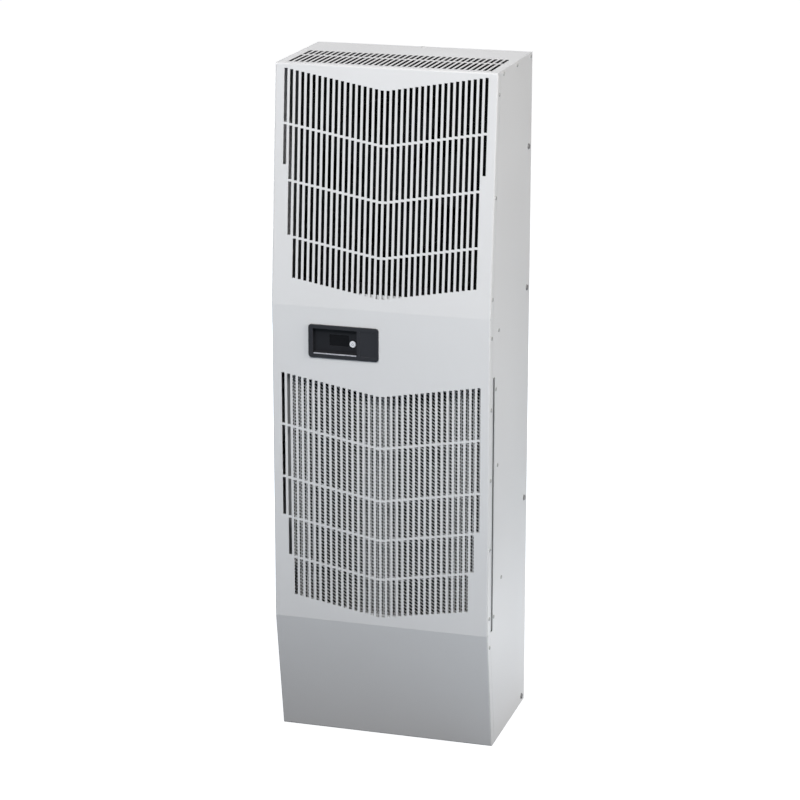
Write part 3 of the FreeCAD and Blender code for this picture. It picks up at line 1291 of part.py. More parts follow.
def control_bezel():
    """Moulded bezel with a sunk display window, sloped window sill and grip panel."""
    face = bezel_block(0.0, FRONT_Y - BEZEL_PROUD, FRONT_Y)
    upright = [e for e in face.Edges if abs(e.Length - BEZEL_PROUD) < FIT]
    face = face.makeFillet(BEZEL_CORNER, upright)
    rim = [e for e in face.Edges if abs(e.CenterOfMass.y - (FRONT_Y - BEZEL_PROUD)) < FIT]
    face = face.makeFillet(BEZEL_EDGE, rim)
    body = bezel_block(BEZEL_BORDER, FRONT_Y, BODY_Y)
    span_x, span_z = window_span()
    sill = [
        (FRONT_Y - BEZEL_PROUD - CUT, span_z[0]), (FRONT_Y - BEZEL_PROUD - CUT, span_z[1]),
        (FLOOR_Y, span_z[1]), (FLOOR_Y, span_z[0] + WINDOW_LEDGE), (FRONT_Y - BEZEL_PROUD, span_z[0]),
    ]
    window = prism_x(sill, *span_x)
    grip_left = BEZEL_LEFT + GRIP_LEFT
    grip = block((grip_left, grip_left + GRIP_WIDTH),
                 (FRONT_Y - BEZEL_PROUD - CUT, FRONT_Y - BEZEL_PROUD + GRIP_DEPTH),
                 (BEZEL_Z - BEZEL_HEIGHT / 2 + GRIP_INSET, BEZEL_TOP - GRIP_INSET))
    lens = lens_block(FIT, (FLOOR_Y, FLOOR_Y + LENS_THICK))
    button = rod(BUTTON_RADIUS + FIT, (BUTTON_X, FLOOR_Y - CUT, BUTTON_Z), Y_AXIS, BODY_Y - FLOOR_Y + 2 * CUT)
    return cut_all(join([face, body]), [window, grip, lens, button])


def display_lens():
    return lens_block(0.0, (FLOOR_Y, FLOOR_Y + LENS_THICK))


def power_button():
    """Round key with a collar that keeps it behind the window floor."""
    front = FLOOR_Y - BUTTON_PROUD
    key = rod(BUTTON_RADIUS, (BUTTON_X, front, BUTTON_Z), Y_AXIS, BODY_Y + FIT - front)
    key = key.makeFillet(BUTTON_EDGE, [e for e in key.Edges if e.Closed and e.CenterOfMass.y < FLOOR_Y])
    collar = rod(BUTTON_RADIUS + BUTTON_COLLAR, (BUTTON_X, BODY_Y + FIT, BUTTON_Z), Y_AXIS,
                 BUTTON_COLLAR_THICK)
    return join([key, collar])


def controller_module():
    """Controller case behind the bezel, hollowed where the key moves."""
    span_x, span_z = window_span()
    middle_x = sum(span_x) / 2
    middle_z = sum(span_z) / 2
    case = block((middle_x - MODULE_WIDTH / 2, middle_x + MODULE_WIDTH / 2), (BODY_Y, BODY_Y + MODULE_LENGTH),
                 (middle_z - MODULE_HEIGHT / 2, middle_z + MODULE_HEIGHT / 2))
    well_depth = BUTTON_COLLAR_THICK + BUTTON_TRAVEL + 3 * FIT
    well = rod(BUTTON_RADIUS + BUTTON_COLLAR + FIT, (BUTTON_X, BODY_Y, BUTTON_Z), Y_AXIS, well_depth)
    return case.cut(well)


# Control box


def control_box():
    """Open-fronted electrical box on the upper deck."""
    high = UPPER_DECK_TOP + BOX_HEIGHT
    box = block((BOX_LEFT, BOX_RIGHT), (BOX_FRONT_Y, BOX_REAR_Y), (UPPER_DECK_TOP, high))
    hollow = block((BOX_LEFT + THIN_SHEET, BOX_RIGHT - THIN_SHEET),
                   (BOX_FRONT_Y - CUT, BOX_REAR_Y - THIN_SHEET),
                   (UPPER_DECK_TOP + THIN_SHEET, high - THIN_SHEET))
    return box.cut(hollow).cut(Part.makeCompound(side_holes(bracket_screw_spots(True), SCREW_CLEAR)))


def control_box_cover():
    right = LINED_HALF - FIT
    high = UPPER_DECK_TOP + BOX_HEIGHT
    return block((BOX_LEFT, right), (BOX_FRONT_Y - THIN_SHEET, BOX_FRONT_Y), (UPPER_DECK_TOP, high))


def contactor():
    """Contactor with a stepped coil housing, on the back of the box."""
    width, depth, height = CONTACTOR_SIZE
    rear = BOX_REAR_Y - THIN_SHEET
    low = UPPER_DECK_TOP + THIN_SHEET + CONTACTOR_LIFT
    sides = (CONTACTOR_X - width / 2, CONTACTOR_X + width / 2)
    base = block(sides, (rear - depth / 2, rear), (low, low + height))
    coil = block(sides, (rear - depth, rear),
                 (low + height / 4, low + height * 3 / 4))
    return join([base, coil])


def run_capacitor():
    return rod(CAPACITOR_RADIUS, (CAPACITOR_X, BOX_REAR_Y - THIN_SHEET - CAPACITOR_RADIUS - FIT,
                                  UPPER_DECK_TOP + THIN_SHEET), Z_AXIS, CAPACITOR_HEIGHT)


def terminal_block():
    """Barrier strip: a base with upright walls between the poles."""
    width, depth, height = TERMINAL_SIZE
    rear = BOX_REAR_Y - THIN_SHEET
    low = UPPER_DECK_TOP + BOX_HEIGHT / 2
    left = TERMINAL_X - width / 2
    solids = [block((left, left + width), (rear - depth / 2, rear), (low, low + height))]
    for x in spread(left, left + width - THIN_SHEET, TERMINAL_POLES + 1):
        solids.append(block((x, x + THIN_SHEET), (rear - depth, rear), (low, low + height)))
    return join(solids)


def cable_gland():
    """Cable entry in the back panel: collar outside, locknut inside, bored right through."""
    outside = REAR_Y
    collar = hexagon(GLAND_NUT, (GLAND_X, outside, GLAND_Z), Y_AXIS, GLAND_NUT_THICK)
    barrel = rod(GLAND_RADIUS, (GLAND_X, BACK_INNER_Y - GLAND_LENGTH, GLAND_Z), Y_AXIS, GLAND_LENGTH + SHEET)
    locknut = hexagon(GLAND_NUT, (GLAND_X, BACK_INNER_Y - GLAND_NUT_THICK, GLAND_Z), Y_AXIS, GLAND_NUT_THICK)
    bore = rod(GLAND_BORE, (GLAND_X, BACK_INNER_Y - 2 * GLAND_LENGTH, GLAND_Z), Y_AXIS, 4 * GLAND_LENGTH)
    return join([collar, barrel, locknut]).cut(bore)


# Fasteners


def screw(start, direction, head_radius, head, radius, length):
    """Domed-head screw whose head rests on the surface at `start` and whose shank runs along direction."""
    base = Vector(*start)
    cap = rod(head_radius, base - direction * head, direction, head)
    outer_rim = [e for e in cap.Edges if e.Closed and (e.CenterOfMass - base).Length > head / 2]
    cap = cap.makeChamfer(head / 2, outer_rim)
    return join([cap, rod(radius, base, direction, length)])


def side_screws(spots, sign):
    return [screw((sign * HALF, y, z), X_AXIS * -sign, SCREW_HEAD_RADIUS, SCREW_HEAD,
                  SCREW_RADIUS, SCREW_LENGTH) for y, z in spots]


def cover_screws():
    return Part.makeCompound(side_screws(cover_screw_spots(), 1) + side_screws(cover_screw_spots(), -1))


def top_screws():
    rear = screw((0, REAR_Y - REAR_SCREW_INSET, HEIGHT), -Z_AXIS, SCREW_HEAD_RADIUS, SCREW_HEAD,
                 SCREW_RADIUS, SCREW_LENGTH)
    return Part.makeCompound(side_screws(top_screw_spots(), 1) + side_screws(top_screw_spots(), -1) + [rear])


def bracket_screws():
    return Part.makeCompound(side_screws(bracket_screw_spots(True), 1)
                             + side_screws(bracket_screw_spots(False), -1))


def side_bolts():
    return Part.makeCompound([
        screw((sign * HALF, y, z), X_AXIS * -sign, SIDE_BOLT_HEAD_RADIUS, SIDE_BOLT_HEAD,
              SIDE_BOLT_RADIUS, SIDE_BOLT_LENGTH)
        for sign in (-1, 1) for y, z in side_bolt_spots()
    ])


# Every piece of the assembly by name

condenser_core, condenser_fins = condenser()
evaporator_core, evaporator_fins = evaporator()
compressor_shell = compressor()
suction_accumulator = accumulator(compressor_shell)

NODES = {
    "front_cover": front_cover(),
    "left_side_panel": side_panel(False),
    "right_side_panel": side_panel(True),
    "top_panel": top_panel(),
    "back_panel": back_panel(),
    "base_pan": base_pan(),
    "mounting_gasket": mounting_gasket(),
    "weld_nuts": weld_nuts(),
    "divider_wall": divider_wall(),
    "lower_deck": lower_deck(),
    "upper_deck": upper_deck(),
    "fan_shelf": fan_shelf(),
    "fan_deck": fan_deck(),
    "filter_rails": filter_rails(),
    "filter_frame": filter_frame(),
    "filter_media": filter_media(),
    "condenser_core": condenser_core,
    "condenser_fins": condenser_fins,
    "coil_saddles": coil_saddles(),
    "evaporator_core": evaporator_core,
    "evaporator_fins": evaporator_fins,
    "evaporator_baffle": evaporator_baffle(),
    "condensate_pan": condensate_pan(),
    "drain_tube": drain_tube(),
    "compressor": compressor_shell,
    "compressor_grommets": compressor_grommets(),
    "compressor_studs": compressor_studs(),
    "accumulator": suction_accumulator,
    "filter_drier": filter_drier(),
    "drier_clamp": drier_clamp(),
    "discharge_line": bent_tube(discharge_route(), DISCHARGE_RADIUS, LINE_BEND)
    .cut(compressor_shell).cut(condenser_core),
    "suction_line": bent_tube(suction_route(), SUCTION_RADIUS, LINE_BEND)
    .cut(suction_accumulator).cut(evaporator_core),
    "liquid_line": bent_tube(liquid_route(), LIQUID_RADIUS, LIQUID_BEND).cut(condenser_core),
    "expansion_line": bent_tube(expansion_route(), EXPANSION_RADIUS, LINE_BEND).cut(evaporator_core),
    "line_grommets": line_grommets(),
    "condenser_fan": condenser_fan(),
    "condenser_fan_shaft": condenser_shaft(),
    "condenser_fan_motor": motor_body(MOTOR_Y, MOTOR_LENGTH, 1),
    "condenser_motor_mount": condenser_motor_mount(),
    "blower_wheel": blower_wheel(),
    "blower_shaft": blower_shaft(),
    "blower_motor": motor_body(BLOWER_MOTOR_Y + BLOWER_MOTOR_LENGTH, BLOWER_MOTOR_LENGTH, -1),
    "blower_inlet_ring": blower_inlet_ring(),
    "blower_guard": blower_guard(),
    "outlet_grille": outlet_grille(),
    "control_bezel": control_bezel(),
    "display_lens": display_lens(),
    "power_button": power_button(),
    "controller_module": controller_module(),
    "control_box": control_box(),
    "control_box_cover": control_box_cover(),
    "contactor": contactor(),
    "run_capacitor": run_capacitor(),
    "terminal_block": terminal_block(),
    "cable_gland": cable_gland(),
    "cover_screws": cover_screws(),
    "top_screws": top_screws(),
    "bracket_screws": bracket_screws(),
    "side_bolts": side_bolts(),
}

os.makedirs("parts", exist_ok=True)
for name, shape in NODES.items():
    shape.exportStep("parts/" + name + ".step")
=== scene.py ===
import math

import bmesh
import bpy
from mathutils import Matrix, Vector

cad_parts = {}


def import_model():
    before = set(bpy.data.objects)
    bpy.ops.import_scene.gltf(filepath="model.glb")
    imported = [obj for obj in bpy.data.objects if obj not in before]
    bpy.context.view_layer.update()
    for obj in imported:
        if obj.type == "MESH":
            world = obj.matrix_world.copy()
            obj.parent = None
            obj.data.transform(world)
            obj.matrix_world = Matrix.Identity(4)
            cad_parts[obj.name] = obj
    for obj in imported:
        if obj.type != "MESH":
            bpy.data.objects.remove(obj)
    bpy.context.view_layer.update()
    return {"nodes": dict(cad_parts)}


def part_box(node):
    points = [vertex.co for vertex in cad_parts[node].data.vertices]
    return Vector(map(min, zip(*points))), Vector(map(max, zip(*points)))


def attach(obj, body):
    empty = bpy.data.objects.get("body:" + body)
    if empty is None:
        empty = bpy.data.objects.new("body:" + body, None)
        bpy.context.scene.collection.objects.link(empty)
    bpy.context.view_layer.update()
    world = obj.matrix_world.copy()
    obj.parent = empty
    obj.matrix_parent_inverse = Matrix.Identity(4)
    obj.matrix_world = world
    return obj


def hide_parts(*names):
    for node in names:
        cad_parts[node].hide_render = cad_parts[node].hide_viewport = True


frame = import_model()

# Cabinet shell: front cover, two side panels, back and base pan.
# Each is punched and folded from 1.5 mm steel sheet, then powder coated light grey on both faces,
# so the coat is a little pebbled and rounds every punched edge; the folds are painted darker, as shade.
CABINET_GREY = (0.678, 0.68, 0.69, 1.0)
COAT_EDGE = 0.0007
COAT_GRAIN = 0.0011
COAT_RIPPLE = 0.00002
FOLD_SHADE = 0.82


def add(tree, kind, feeds=None, **settings):
    """A new node with its settings made and its inputs fed by plain values or by other nodes' sockets."""
    node = tree.nodes.new(kind)
    for name, value in settings.items():
        setattr(node, name, value)
    for name, value in (feeds or {}).items():
        if isinstance(value, bpy.types.NodeSocket):
            tree.links.new(value, node.inputs[name])
        else:
            node.inputs[name].default_value = value
    return node


def calc(tree, operation, *values):
    """One sum on numbers that change over the surface."""
    return add(tree, "ShaderNodeMath", dict(enumerate(values)), operation=operation).outputs[0]


def mixed(tree, share, first, second):
    """A colour between two others. Sockets 6 and 7 are the two colours of the mix node."""
    return add(tree, "ShaderNodeMix", {0: share, 6: first, 7: second}, data_type="RGBA").outputs[2]


def ranged(tree, value, low, high, start=0.3, end=0.7):
    """A pattern's value stretched from start..end to low..high."""
    feeds = {"Value": value, "From Min": start, "From Max": end, "To Min": low, "To Max": high}
    return add(tree, "ShaderNodeMapRange", feeds).outputs[0]


def own_place(tree):
    """The place on a piece, in metres."""
    return add(tree, "ShaderNodeTexCoord").outputs["Object"]


def parts_of(tree, vector):
    """The X, Y and Z of a place or a direction."""
    return add(tree, "ShaderNodeSeparateXYZ", {0: vector}).outputs


def effect(name, sizes, results):
    """A shader node group with named sizes going in and named results coming out."""
    group = bpy.data.node_groups.new(name, "ShaderNodeTree")
    for label, value in sizes.items():
        socket = group.interface.new_socket(label, in_out="INPUT", socket_type="NodeSocketFloat")
        socket.default_value = value
    for label, kind in results.items():
        group.interface.new_socket(label, in_out="OUTPUT", socket_type=kind)
    return group, group.nodes.new("NodeGroupInput").outputs, group.nodes.new("NodeGroupOutput").inputs


def noise(tree, place, size, detail=2.0):
    """A noise whose lumps are about `size` metres across."""
    scale = calc(tree, "DIVIDE", 1.0, size)
    return add(tree, "ShaderNodeTexNoise", {"Vector": place, "Scale": scale, "Detail": detail}).outputs[0]


def grain_effect():
    """Fine grain for the bump and slow patches for the tone, at sizes given in metres."""
    group, sizes, results = effect("surface_grain", {"Grain": 0.001, "Patch": 0.2},
                                   {"Height": "NodeSocketFloat", "Tone": "NodeSocketFloat"})
    place = own_place(group)
    group.links.new(noise(group, place, sizes["Grain"]), results["Height"])
    group.links.new(noise(group, place, sizes["Patch"], detail=3.0), results["Tone"])
    return group


def edge_effect():
    """Rounded edges: the softened normal, and a mask that is 1 along the edges."""
    group, sizes, results = effect("soft_edges", {"Radius": 0.0006},
                                   {"Normal": "NodeSocketVector", "Edge": "NodeSocketFloat"})
    soft = add(group, "ShaderNodeBevel", {"Radius": sizes["Radius"]}, samples=4).outputs[0]
    flat = add(group, "ShaderNodeNewGeometry").outputs["Normal"]
    likeness = add(group, "ShaderNodeVectorMath", {0: soft, 1: flat}, operation="DOT_PRODUCT")
    group.links.new(soft, results["Normal"])
    group.links.new(ranged(group, likeness.outputs["Value"], 1.0, 0.0, 0.75, 0.995), results["Edge"])
    return group


def fold_effect():
    """A mask that is 1 on the folds, where the surface turns from one flat wall to the next."""
    group, sizes, results = effect("sheet_folds", {"Sharp": 0.86, "Flat": 0.97},
                                   {"Fold": "NodeSocketFloat"})
    facing = add(group, "ShaderNodeNewGeometry").outputs["Normal"]
    across, along, up = (calc(group, "ABSOLUTE", part) for part in parts_of(group, facing))
    squareness = calc(group, "MAXIMUM", calc(group, "MAXIMUM", across, along), up)
    group.links.new(ranged(group, squareness, 1.0, 0.0, sizes["Sharp"], sizes["Flat"]), results["Fold"])
    return group


surface_grain = grain_effect()
soft_edges = edge_effect()
sheet_folds = fold_effect()


def grained(tree, grain, patch):
    """The Height of the fine grain and the Tone of the slow patches on a finish."""
    return add(tree, "ShaderNodeGroup", {"Grain": grain, "Patch": patch}, node_tree=surface_grain).outputs


def edged(tree, radius):
    """The softened Normal and the Edge mask of a finish whose edges are rounded."""
    return add(tree, "ShaderNodeGroup", {"Radius": radius}, node_tree=soft_edges).outputs


def bumped(tree, height, depth, normal=None):
    """The normal of a surface that is rippled to a depth in metres."""
    feeds = {"Height": height, "Distance": depth}
    if normal is not None:
        feeds["Normal"] = normal
    return add(tree, "ShaderNodeBump", feeds).outputs[0]


def blank_material(name):
    """A new node material, its tree and its shader."""
    made = bpy.data.materials.new(name)
    made.use_nodes = True
    tree = made.node_tree
    return made, tree, tree.nodes["Principled BSDF"]


def feed(tree, shader, **values):
    """Set or link the shader's sockets, with underscores for the spaces in their names."""
    for name, value in values.items():
        socket = shader.inputs[name.replace("_", " ")]
        if isinstance(value, bpy.types.NodeSocket):
            tree.links.new(value, socket)
        else:
            socket.default_value = value


def shaded(colour, factor):
    """A colour made darker or lighter."""
    return tuple(min(1.0, part * factor) for part in colour[:3]) + (1.0,)


def finish(name, colour, rough, grain, depth, patch=0.25, tone=0.05, edge=0.0004, edge_tone=1.0, metal=0.0,
           rough_spread=0.06, shine=0.5, fold_tone=None):
    """A painted, moulded or plated finish with slow tone patches and fine grain, edges painted paler or
    darker as wear and highlight, and folds painted darker as shade.
    """
    made, tree, shader = blank_material(name)
    grains = grained(tree, grain, patch)
    edges = edged(tree, edge)
    share = ranged(tree, grains["Tone"], 0.0, 1.0)
    body = mixed(tree, share, shaded(colour, 1.0 - tone), shaded(colour, 1.0 + tone))
    # Edges are painted paler or darker, as wear and as a painted highlight.
    coat = mixed(tree, edges["Edge"], body, shaded(colour, edge_tone))
    # Folds are painted darker, as the shade where the sheet turns away from the light.
    if fold_tone:
        folds = add(tree, "ShaderNodeGroup", node_tree=sheet_folds).outputs
        coat = mixed(tree, folds["Fold"], coat, shaded(colour, fold_tone))
    feed(tree, shader, Base_Color=coat, Metallic=metal, Specular_IOR_Level=shine,
         Roughness=ranged(tree, grains["Tone"], rough - rough_spread, rough + rough_spread),
         Normal=bumped(tree, grains["Height"], depth, edges["Normal"]))
    return made


def coat_nodes(material, *names):
    """Give CAD nodes their finish."""
    for name in names:
        slots = frame["nodes"][name].data.materials
        slots.clear()
        slots.append(material)


powder_coat = finish("light_grey_powder_coat", CABINET_GREY, rough=0.46, grain=COAT_GRAIN,
                     depth=COAT_RIPPLE, patch=0.3, tone=0.012, edge=COAT_EDGE, fold_tone=FOLD_SHADE)
coat_nodes(powder_coat, "front_cover", "left_side_panel", "right_side_panel", "back_panel", "base_pan")

# Top panel: the same sheet and coat, with two rows of vents punched from below.
# The upright walls inside the vents are painted dark, as the shade that fills the narrow vents.
VENT_WALL_SHADE = (0.05, 0.05, 0.052, 1.0)
VENT_MARGIN = 0.012
VENT_WALL_TILT = 0.5


def vented_coat():
    """The cabinet's coat, with painted shade on the upright walls inside the panel's margins."""
    made = powder_coat.copy()
    made.name = "light_grey_vented_coat"
    tree = made.node_tree
    shader = tree.nodes["Principled BSDF"]
    facing = add(tree, "ShaderNodeNewGeometry").outputs["True Normal"]
    wall = calc(tree, "LESS_THAN", calc(tree, "ABSOLUTE", parts_of(tree, facing)["Z"]), VENT_WALL_TILT)
    place = parts_of(tree, own_place(tree))
    low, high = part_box("top_panel")
    inside = calc(tree, "LESS_THAN", calc(tree, "ABSOLUTE", place["X"]), high.x - VENT_MARGIN)
    behind = calc(tree, "GREATER_THAN", place["Y"], low.y + VENT_MARGIN)
    before = calc(tree, "LESS_THAN", place["Y"], high.y - VENT_MARGIN)
    within = calc(tree, "MULTIPLY", calc(tree, "MULTIPLY", inside, behind), before)
    painted_vent_shade = calc(tree, "MULTIPLY", wall, within)
    coat = shader.inputs["Base Color"].links[0].from_socket
    feed(tree, shader, Base_Color=mixed(tree, painted_vent_shade, coat, VENT_WALL_SHADE))
    return made


coat_nodes(vented_coat(), "top_panel")

# Inner decks, rails, boxes and brackets.
# They are folded from galvanised steel sheet that is left unpainted, so the zinc shows its large
# frosted crystals, and they are held to the shell by screws through the side panels.
ZINC_GREY = (0.52, 0.53, 0.54, 1.0)
CRYSTAL = 0.009
CRYSTAL_SHARE = 0.6


def galvanised_sheet():
    """Frosted crystals of different tone and gloss, under a fine grain."""
    made, tree, shader = blank_material("galvanised_sheet")
    feeds = {"Vector": own_place(tree), "Scale": 1.0 / CRYSTAL}
    cells = add(tree, "ShaderNodeTexVoronoi", feeds, feature="F1").outputs["Color"]
    cell = add(tree, "ShaderNodeSeparateColor", {0: cells}).outputs[0]
    grains = grained(tree, grain=0.0006, patch=0.15)
    edges = edged(tree, radius=0.0003)
    clouds = calc(tree, "MULTIPLY", grains["Tone"], 1.0 - CRYSTAL_SHARE)
    streak = calc(tree, "MULTIPLY_ADD", cell, CRYSTAL_SHARE, clouds)
    feed(tree, shader, Metallic=0.85,
         Base_Color=mixed(tree, streak, shaded(ZINC_GREY, 0.82), shaded(ZINC_GREY, 1.22)),
         Roughness=ranged(tree, cell, 0.36, 0.56, start=0.0, end=1.0),
         Normal=bumped(tree, grains["Height"], 0.00002, edges["Normal"]))
    return made


coat_nodes(galvanised_sheet(), "lower_deck", "upper_deck", "filter_rails", "evaporator_baffle",
           "control_box", "control_box_cover", "drier_clamp", "blower_inlet_ring")

# Motor cross and dividing wall behind the fan.
# Steel sheet, painted dead black here as a stand-in for the shade inside the chamber behind the upper
# grille.
PAINTED_SHADE_BLACK = (0.004, 0.004, 0.0045, 1.0)
BLACK_ROUGH = 0.85
chamber_shade_black = finish("dead_black_paint", PAINTED_SHADE_BLACK, rough=BLACK_ROUGH, grain=0.0008, depth=0.00002,
                   tone=0.15, edge_tone=1.3, shine=0.04)
coat_nodes(chamber_shade_black, "divider_wall", "condenser_motor_mount")

# Fan deck with the round fan inlet, and the fan shelf under it, whose lip shows in the lowest slots.
# Steel sheet in the same black, which stands in for the shade inside the chamber; a grey strip on the
# deck's left border is painted light, for what dimly shows through the leftmost slots, and the shelf's lip
# keeps the cabinet's light grey.
DECK_BORDER = 0.020
BORDER_PAINTED_LIGHT = (0.11, 0.113, 0.117, 1.0)
BORDER_METAL = 0.4
PLAIN_ROUGH = 0.5
SHELF_LIP = 0.0012
SHADE_FADE = 0.0006


def shade_black_beyond(name, axis, shade_start, plain_colour, plain_metal):
    """Painted shade black beyond a place along one axis, and a plain colour before it."""
    made, tree, shader = blank_material(name)
    along = parts_of(tree, own_place(tree))[axis]
    plain_share = ranged(tree, along, 1.0, 0.0, start=shade_start - SHADE_FADE, end=shade_start)
    grains = grained(tree, grain=0.0006, patch=0.02)
    sheet = mixed(tree, grains["Tone"], shaded(plain_colour, 0.9), shaded(plain_colour, 1.2))
    feed(tree, shader, Base_Color=mixed(tree, plain_share, PAINTED_SHADE_BLACK, sheet), Specular_IOR_Level=0.1,
         Roughness=ranged(tree, plain_share, BLACK_ROUGH, PLAIN_ROUGH, start=0.0, end=1.0),
         Metallic=calc(tree, "MULTIPLY", plain_share, plain_metal))
    return made


deck_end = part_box("fan_deck")[0].x + DECK_BORDER
lip_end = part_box("fan_shelf")[0].y + SHELF_LIP
coat_nodes(shade_black_beyond("masked_deck", "X", deck_end, BORDER_PAINTED_LIGHT, BORDER_METAL), "fan_deck")
coat_nodes(shade_black_beyond("masked_shelf", "Y", lip_end, CABINET_GREY, 0.0), "fan_shelf")

# Condenser fan: five swept blades and a hub, one injection moulding in glass-filled black nylon.
# The moulding is dull, with faint fibres near the skin.
FAN_BLACK = (0.006, 0.006, 0.007, 1.0)
fan_nylon = finish("glass_filled_nylon", FAN_BLACK, rough=0.75, grain=0.0004, depth=0.00003, patch=0.04,
                   tone=0.25, edge_tone=1.5, shine=0.08)
coat_nodes(fan_nylon, "condenser_fan")

# Fan motors: rolled steel cans with pressed end caps, and ground steel shafts that carry the wheels.
# The cans are grey primer over steel, the shafts are bare and lightly oiled.
MOTOR_GREY = (0.10, 0.105, 0.11, 1.0)
SHAFT_STEEL = (0.56, 0.55, 0.53, 1.0)
motor_primer = finish("motor_primer", MOTOR_GREY, rough=0.52, grain=0.0009, depth=0.00003, patch=0.05,
                      tone=0.10, edge_tone=1.5)
ground_steel = finish("ground_shaft_steel", SHAFT_STEEL, rough=0.28, grain=0.0002, depth=0.000004,
                      patch=0.02, tone=0.08, metal=1.0)
coat_nodes(motor_primer, "blower_motor", "condenser_fan_motor")
coat_nodes(ground_steel, "condenser_fan_shaft", "blower_shaft")

# Coil cores: the flat tubes and D-shaped headers of the condenser and the evaporator.
# Extruded aluminium, brazed together in a furnace, which leaves a dull grey flux bloom on the evaporator;
# the condenser is painted black, as a stand-in for the shade behind the filter's mesh.
COIL_ALUMINIUM = (0.60, 0.61, 0.62, 1.0)
COIL_SHADE_BLACK = (0.010, 0.010, 0.011, 1.0)
dull_aluminium = finish("brazed_aluminium", COIL_ALUMINIUM, rough=0.45, grain=0.0005, depth=0.00003,
                        patch=0.03, tone=0.10, metal=1.0)
coil_shade_black = finish("epoxy_dipped_coil", COIL_SHADE_BLACK, rough=0.6, grain=0.0005, depth=0.00003, patch=0.03,
                    tone=0.15, shine=0.15)
coat_nodes(dull_aluminium, "evaporator_core")
coat_nodes(coil_shade_black, "condenser_core")

# Coil fins: aluminium ribbon folded into a zigzag and brazed between each pair of flat tubes.
# The ribbon is as deep as the coil and a fraction of a millimetre thick; the evaporator's is bright from
# the roll, the condenser's is painted the same shade black as its tubes.
FIN_METAL = (0.50, 0.51, 0.52, 1.0)
FIN_HALF_PITCH = 0.0015
FIN_RIBBON = 0.0005
TUBE_PITCH = 0.010
TUBE_GAP = 0.008
EVAPORATOR_LEAN = math.radians(13.0)
EVAPORATOR_FIN_DEPTH = 0.020
EVAPORATOR_FIN_LENGTH = 0.250
scene = bpy.context.scene


def node_maker(name, sizes):
    """A geometry node tree that takes seats and named sizes, its inputs and its one result."""
    tree = bpy.data.node_groups.new(name, "GeometryNodeTree")
    tree.interface.new_socket("Seats", in_out="INPUT", socket_type="NodeSocketGeometry")
    for label, kind in sizes.items():
        tree.interface.new_socket(label, in_out="INPUT", socket_type="NodeSocket" + kind)
    tree.interface.new_socket("Mesh", in_out="OUTPUT", socket_type="NodeSocketGeometry")
    return tree, tree.nodes.new("NodeGroupInput").outputs, tree.nodes.new("NodeGroupOutput").inputs["Mesh"]


def give(tree, kind, **feeds):
    """The first result of a geometry node, with underscores for the spaces in its input names."""
    return add(tree, kind, {name.replace("_", " "): value for name, value in feeds.items()}).outputs[0]


def close_tree(tree, shape, material, result):
    """Make the shape real, give it its finish and hand it out."""
    real = give(tree, "GeometryNodeRealizeInstances", Geometry=shape)
    tree.links.new(give(tree, "GeometryNodeSetMaterial", Geometry=real, Material=material), result)


def zigzag_tree():
    """Rows of zigzag strip: folded fins, each the mirror of the one below, or a mesh's leaning strands."""
    tree, size, result = node_maker("zigzag_rows", {
        "Folds": "Int", "Half pitch": "Float", "Rise": "Float", "Lean": "Float", "Mirror": "Bool",
        "Rows": "Int", "Row pitch": "Float", "Strip depth": "Float", "Strip thickness": "Float",
        "Start": "Vector", "Turn": "Rotation", "Place": "Vector", "Finish": "Material"})
    index = add(tree, "GeometryNodeInputIndex").outputs[0]
    odd = calc(tree, "MODULO", index, 2.0)
    flip = calc(tree, "MULTIPLY_ADD", odd, -2.0, 1.0)
    along = give(tree, "ShaderNodeCombineXYZ", X=size["Half pitch"])
    swing = give(tree, "ShaderNodeCombineXYZ", X=calc(tree, "MULTIPLY", odd, size["Lean"]),
                 Z=calc(tree, "MULTIPLY", flip, size["Rise"]))
    line = give(tree, "GeometryNodeMeshLine", Count=size["Folds"], Offset=along)
    folded = give(tree, "GeometryNodeSetPosition", Geometry=line, Offset=swing)
    strip = give(tree, "GeometryNodeMeshToCurve", Mesh=folded)
    up = give(tree, "ShaderNodeCombineXYZ", Z=size["Row pitch"])
    rows = give(tree, "GeometryNodeMeshLine", Count=size["Rows"], Offset=up)
    turned = calc(tree, "MULTIPLY_ADD", calc(tree, "MULTIPLY", odd, size["Mirror"]), -2.0, 1.0)
    mirror = give(tree, "ShaderNodeCombineXYZ", X=1.0, Y=1.0, Z=turned)
    stack = give(tree, "GeometryNodeInstanceOnPoints", Points=rows, Instance=strip, Scale=mirror)
    strips = give(tree, "GeometryNodeRealizeInstances", Geometry=stack)
    level = add(tree, "GeometryNodeSetCurveNormal", {"Curve": strips}, mode="Z_UP").outputs[0]
    section = give(tree, "GeometryNodeCurvePrimitiveQuadrilateral", Width=size["Strip depth"],
                   Height=size["Strip thickness"])
    swept = give(tree, "GeometryNodeCurveToMesh", Curve=level, Profile_Curve=section, Fill_Caps=True)
    started = give(tree, "GeometryNodeTransform", Geometry=swept, Translation=size["Start"])
    placed = give(tree, "GeometryNodeTransform", Geometry=started, Translation=size["Place"],
                  Rotation=size["Turn"])
    close_tree(tree, placed, size["Finish"], result)
    return tree


def settled(piece):
    """The plain mesh that a piece's modifiers make of it."""
    return bpy.data.meshes.new_from_object(piece.evaluated_get(bpy.context.evaluated_depsgraph_get()))


def grown(name, tree, seats=None, **sizes):
    """A plain mesh piece made by a geometry node tree, with underscores for the spaces in its sizes."""
    piece = bpy.data.objects.new(name, seats or bpy.data.meshes.new(name))
    scene.collection.objects.link(piece)
    maker = piece.modifiers.new("maker", "NODES")
    maker.node_group = tree
    for item in tree.interface.items_tree:
        wanted = item.name.replace(" ", "_")
        if item.in_out == "INPUT" and wanted in sizes:
            maker[item.identifier] = sizes[wanted]
    made = settled(piece)
    piece.modifiers.remove(maker)
    piece.data = made
    return piece


def stand_for(piece, body, slot, *names):
    """The piece rides on a body and is shown in place of CAD nodes; slot is not used."""
    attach(piece, body)
    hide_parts(*names)


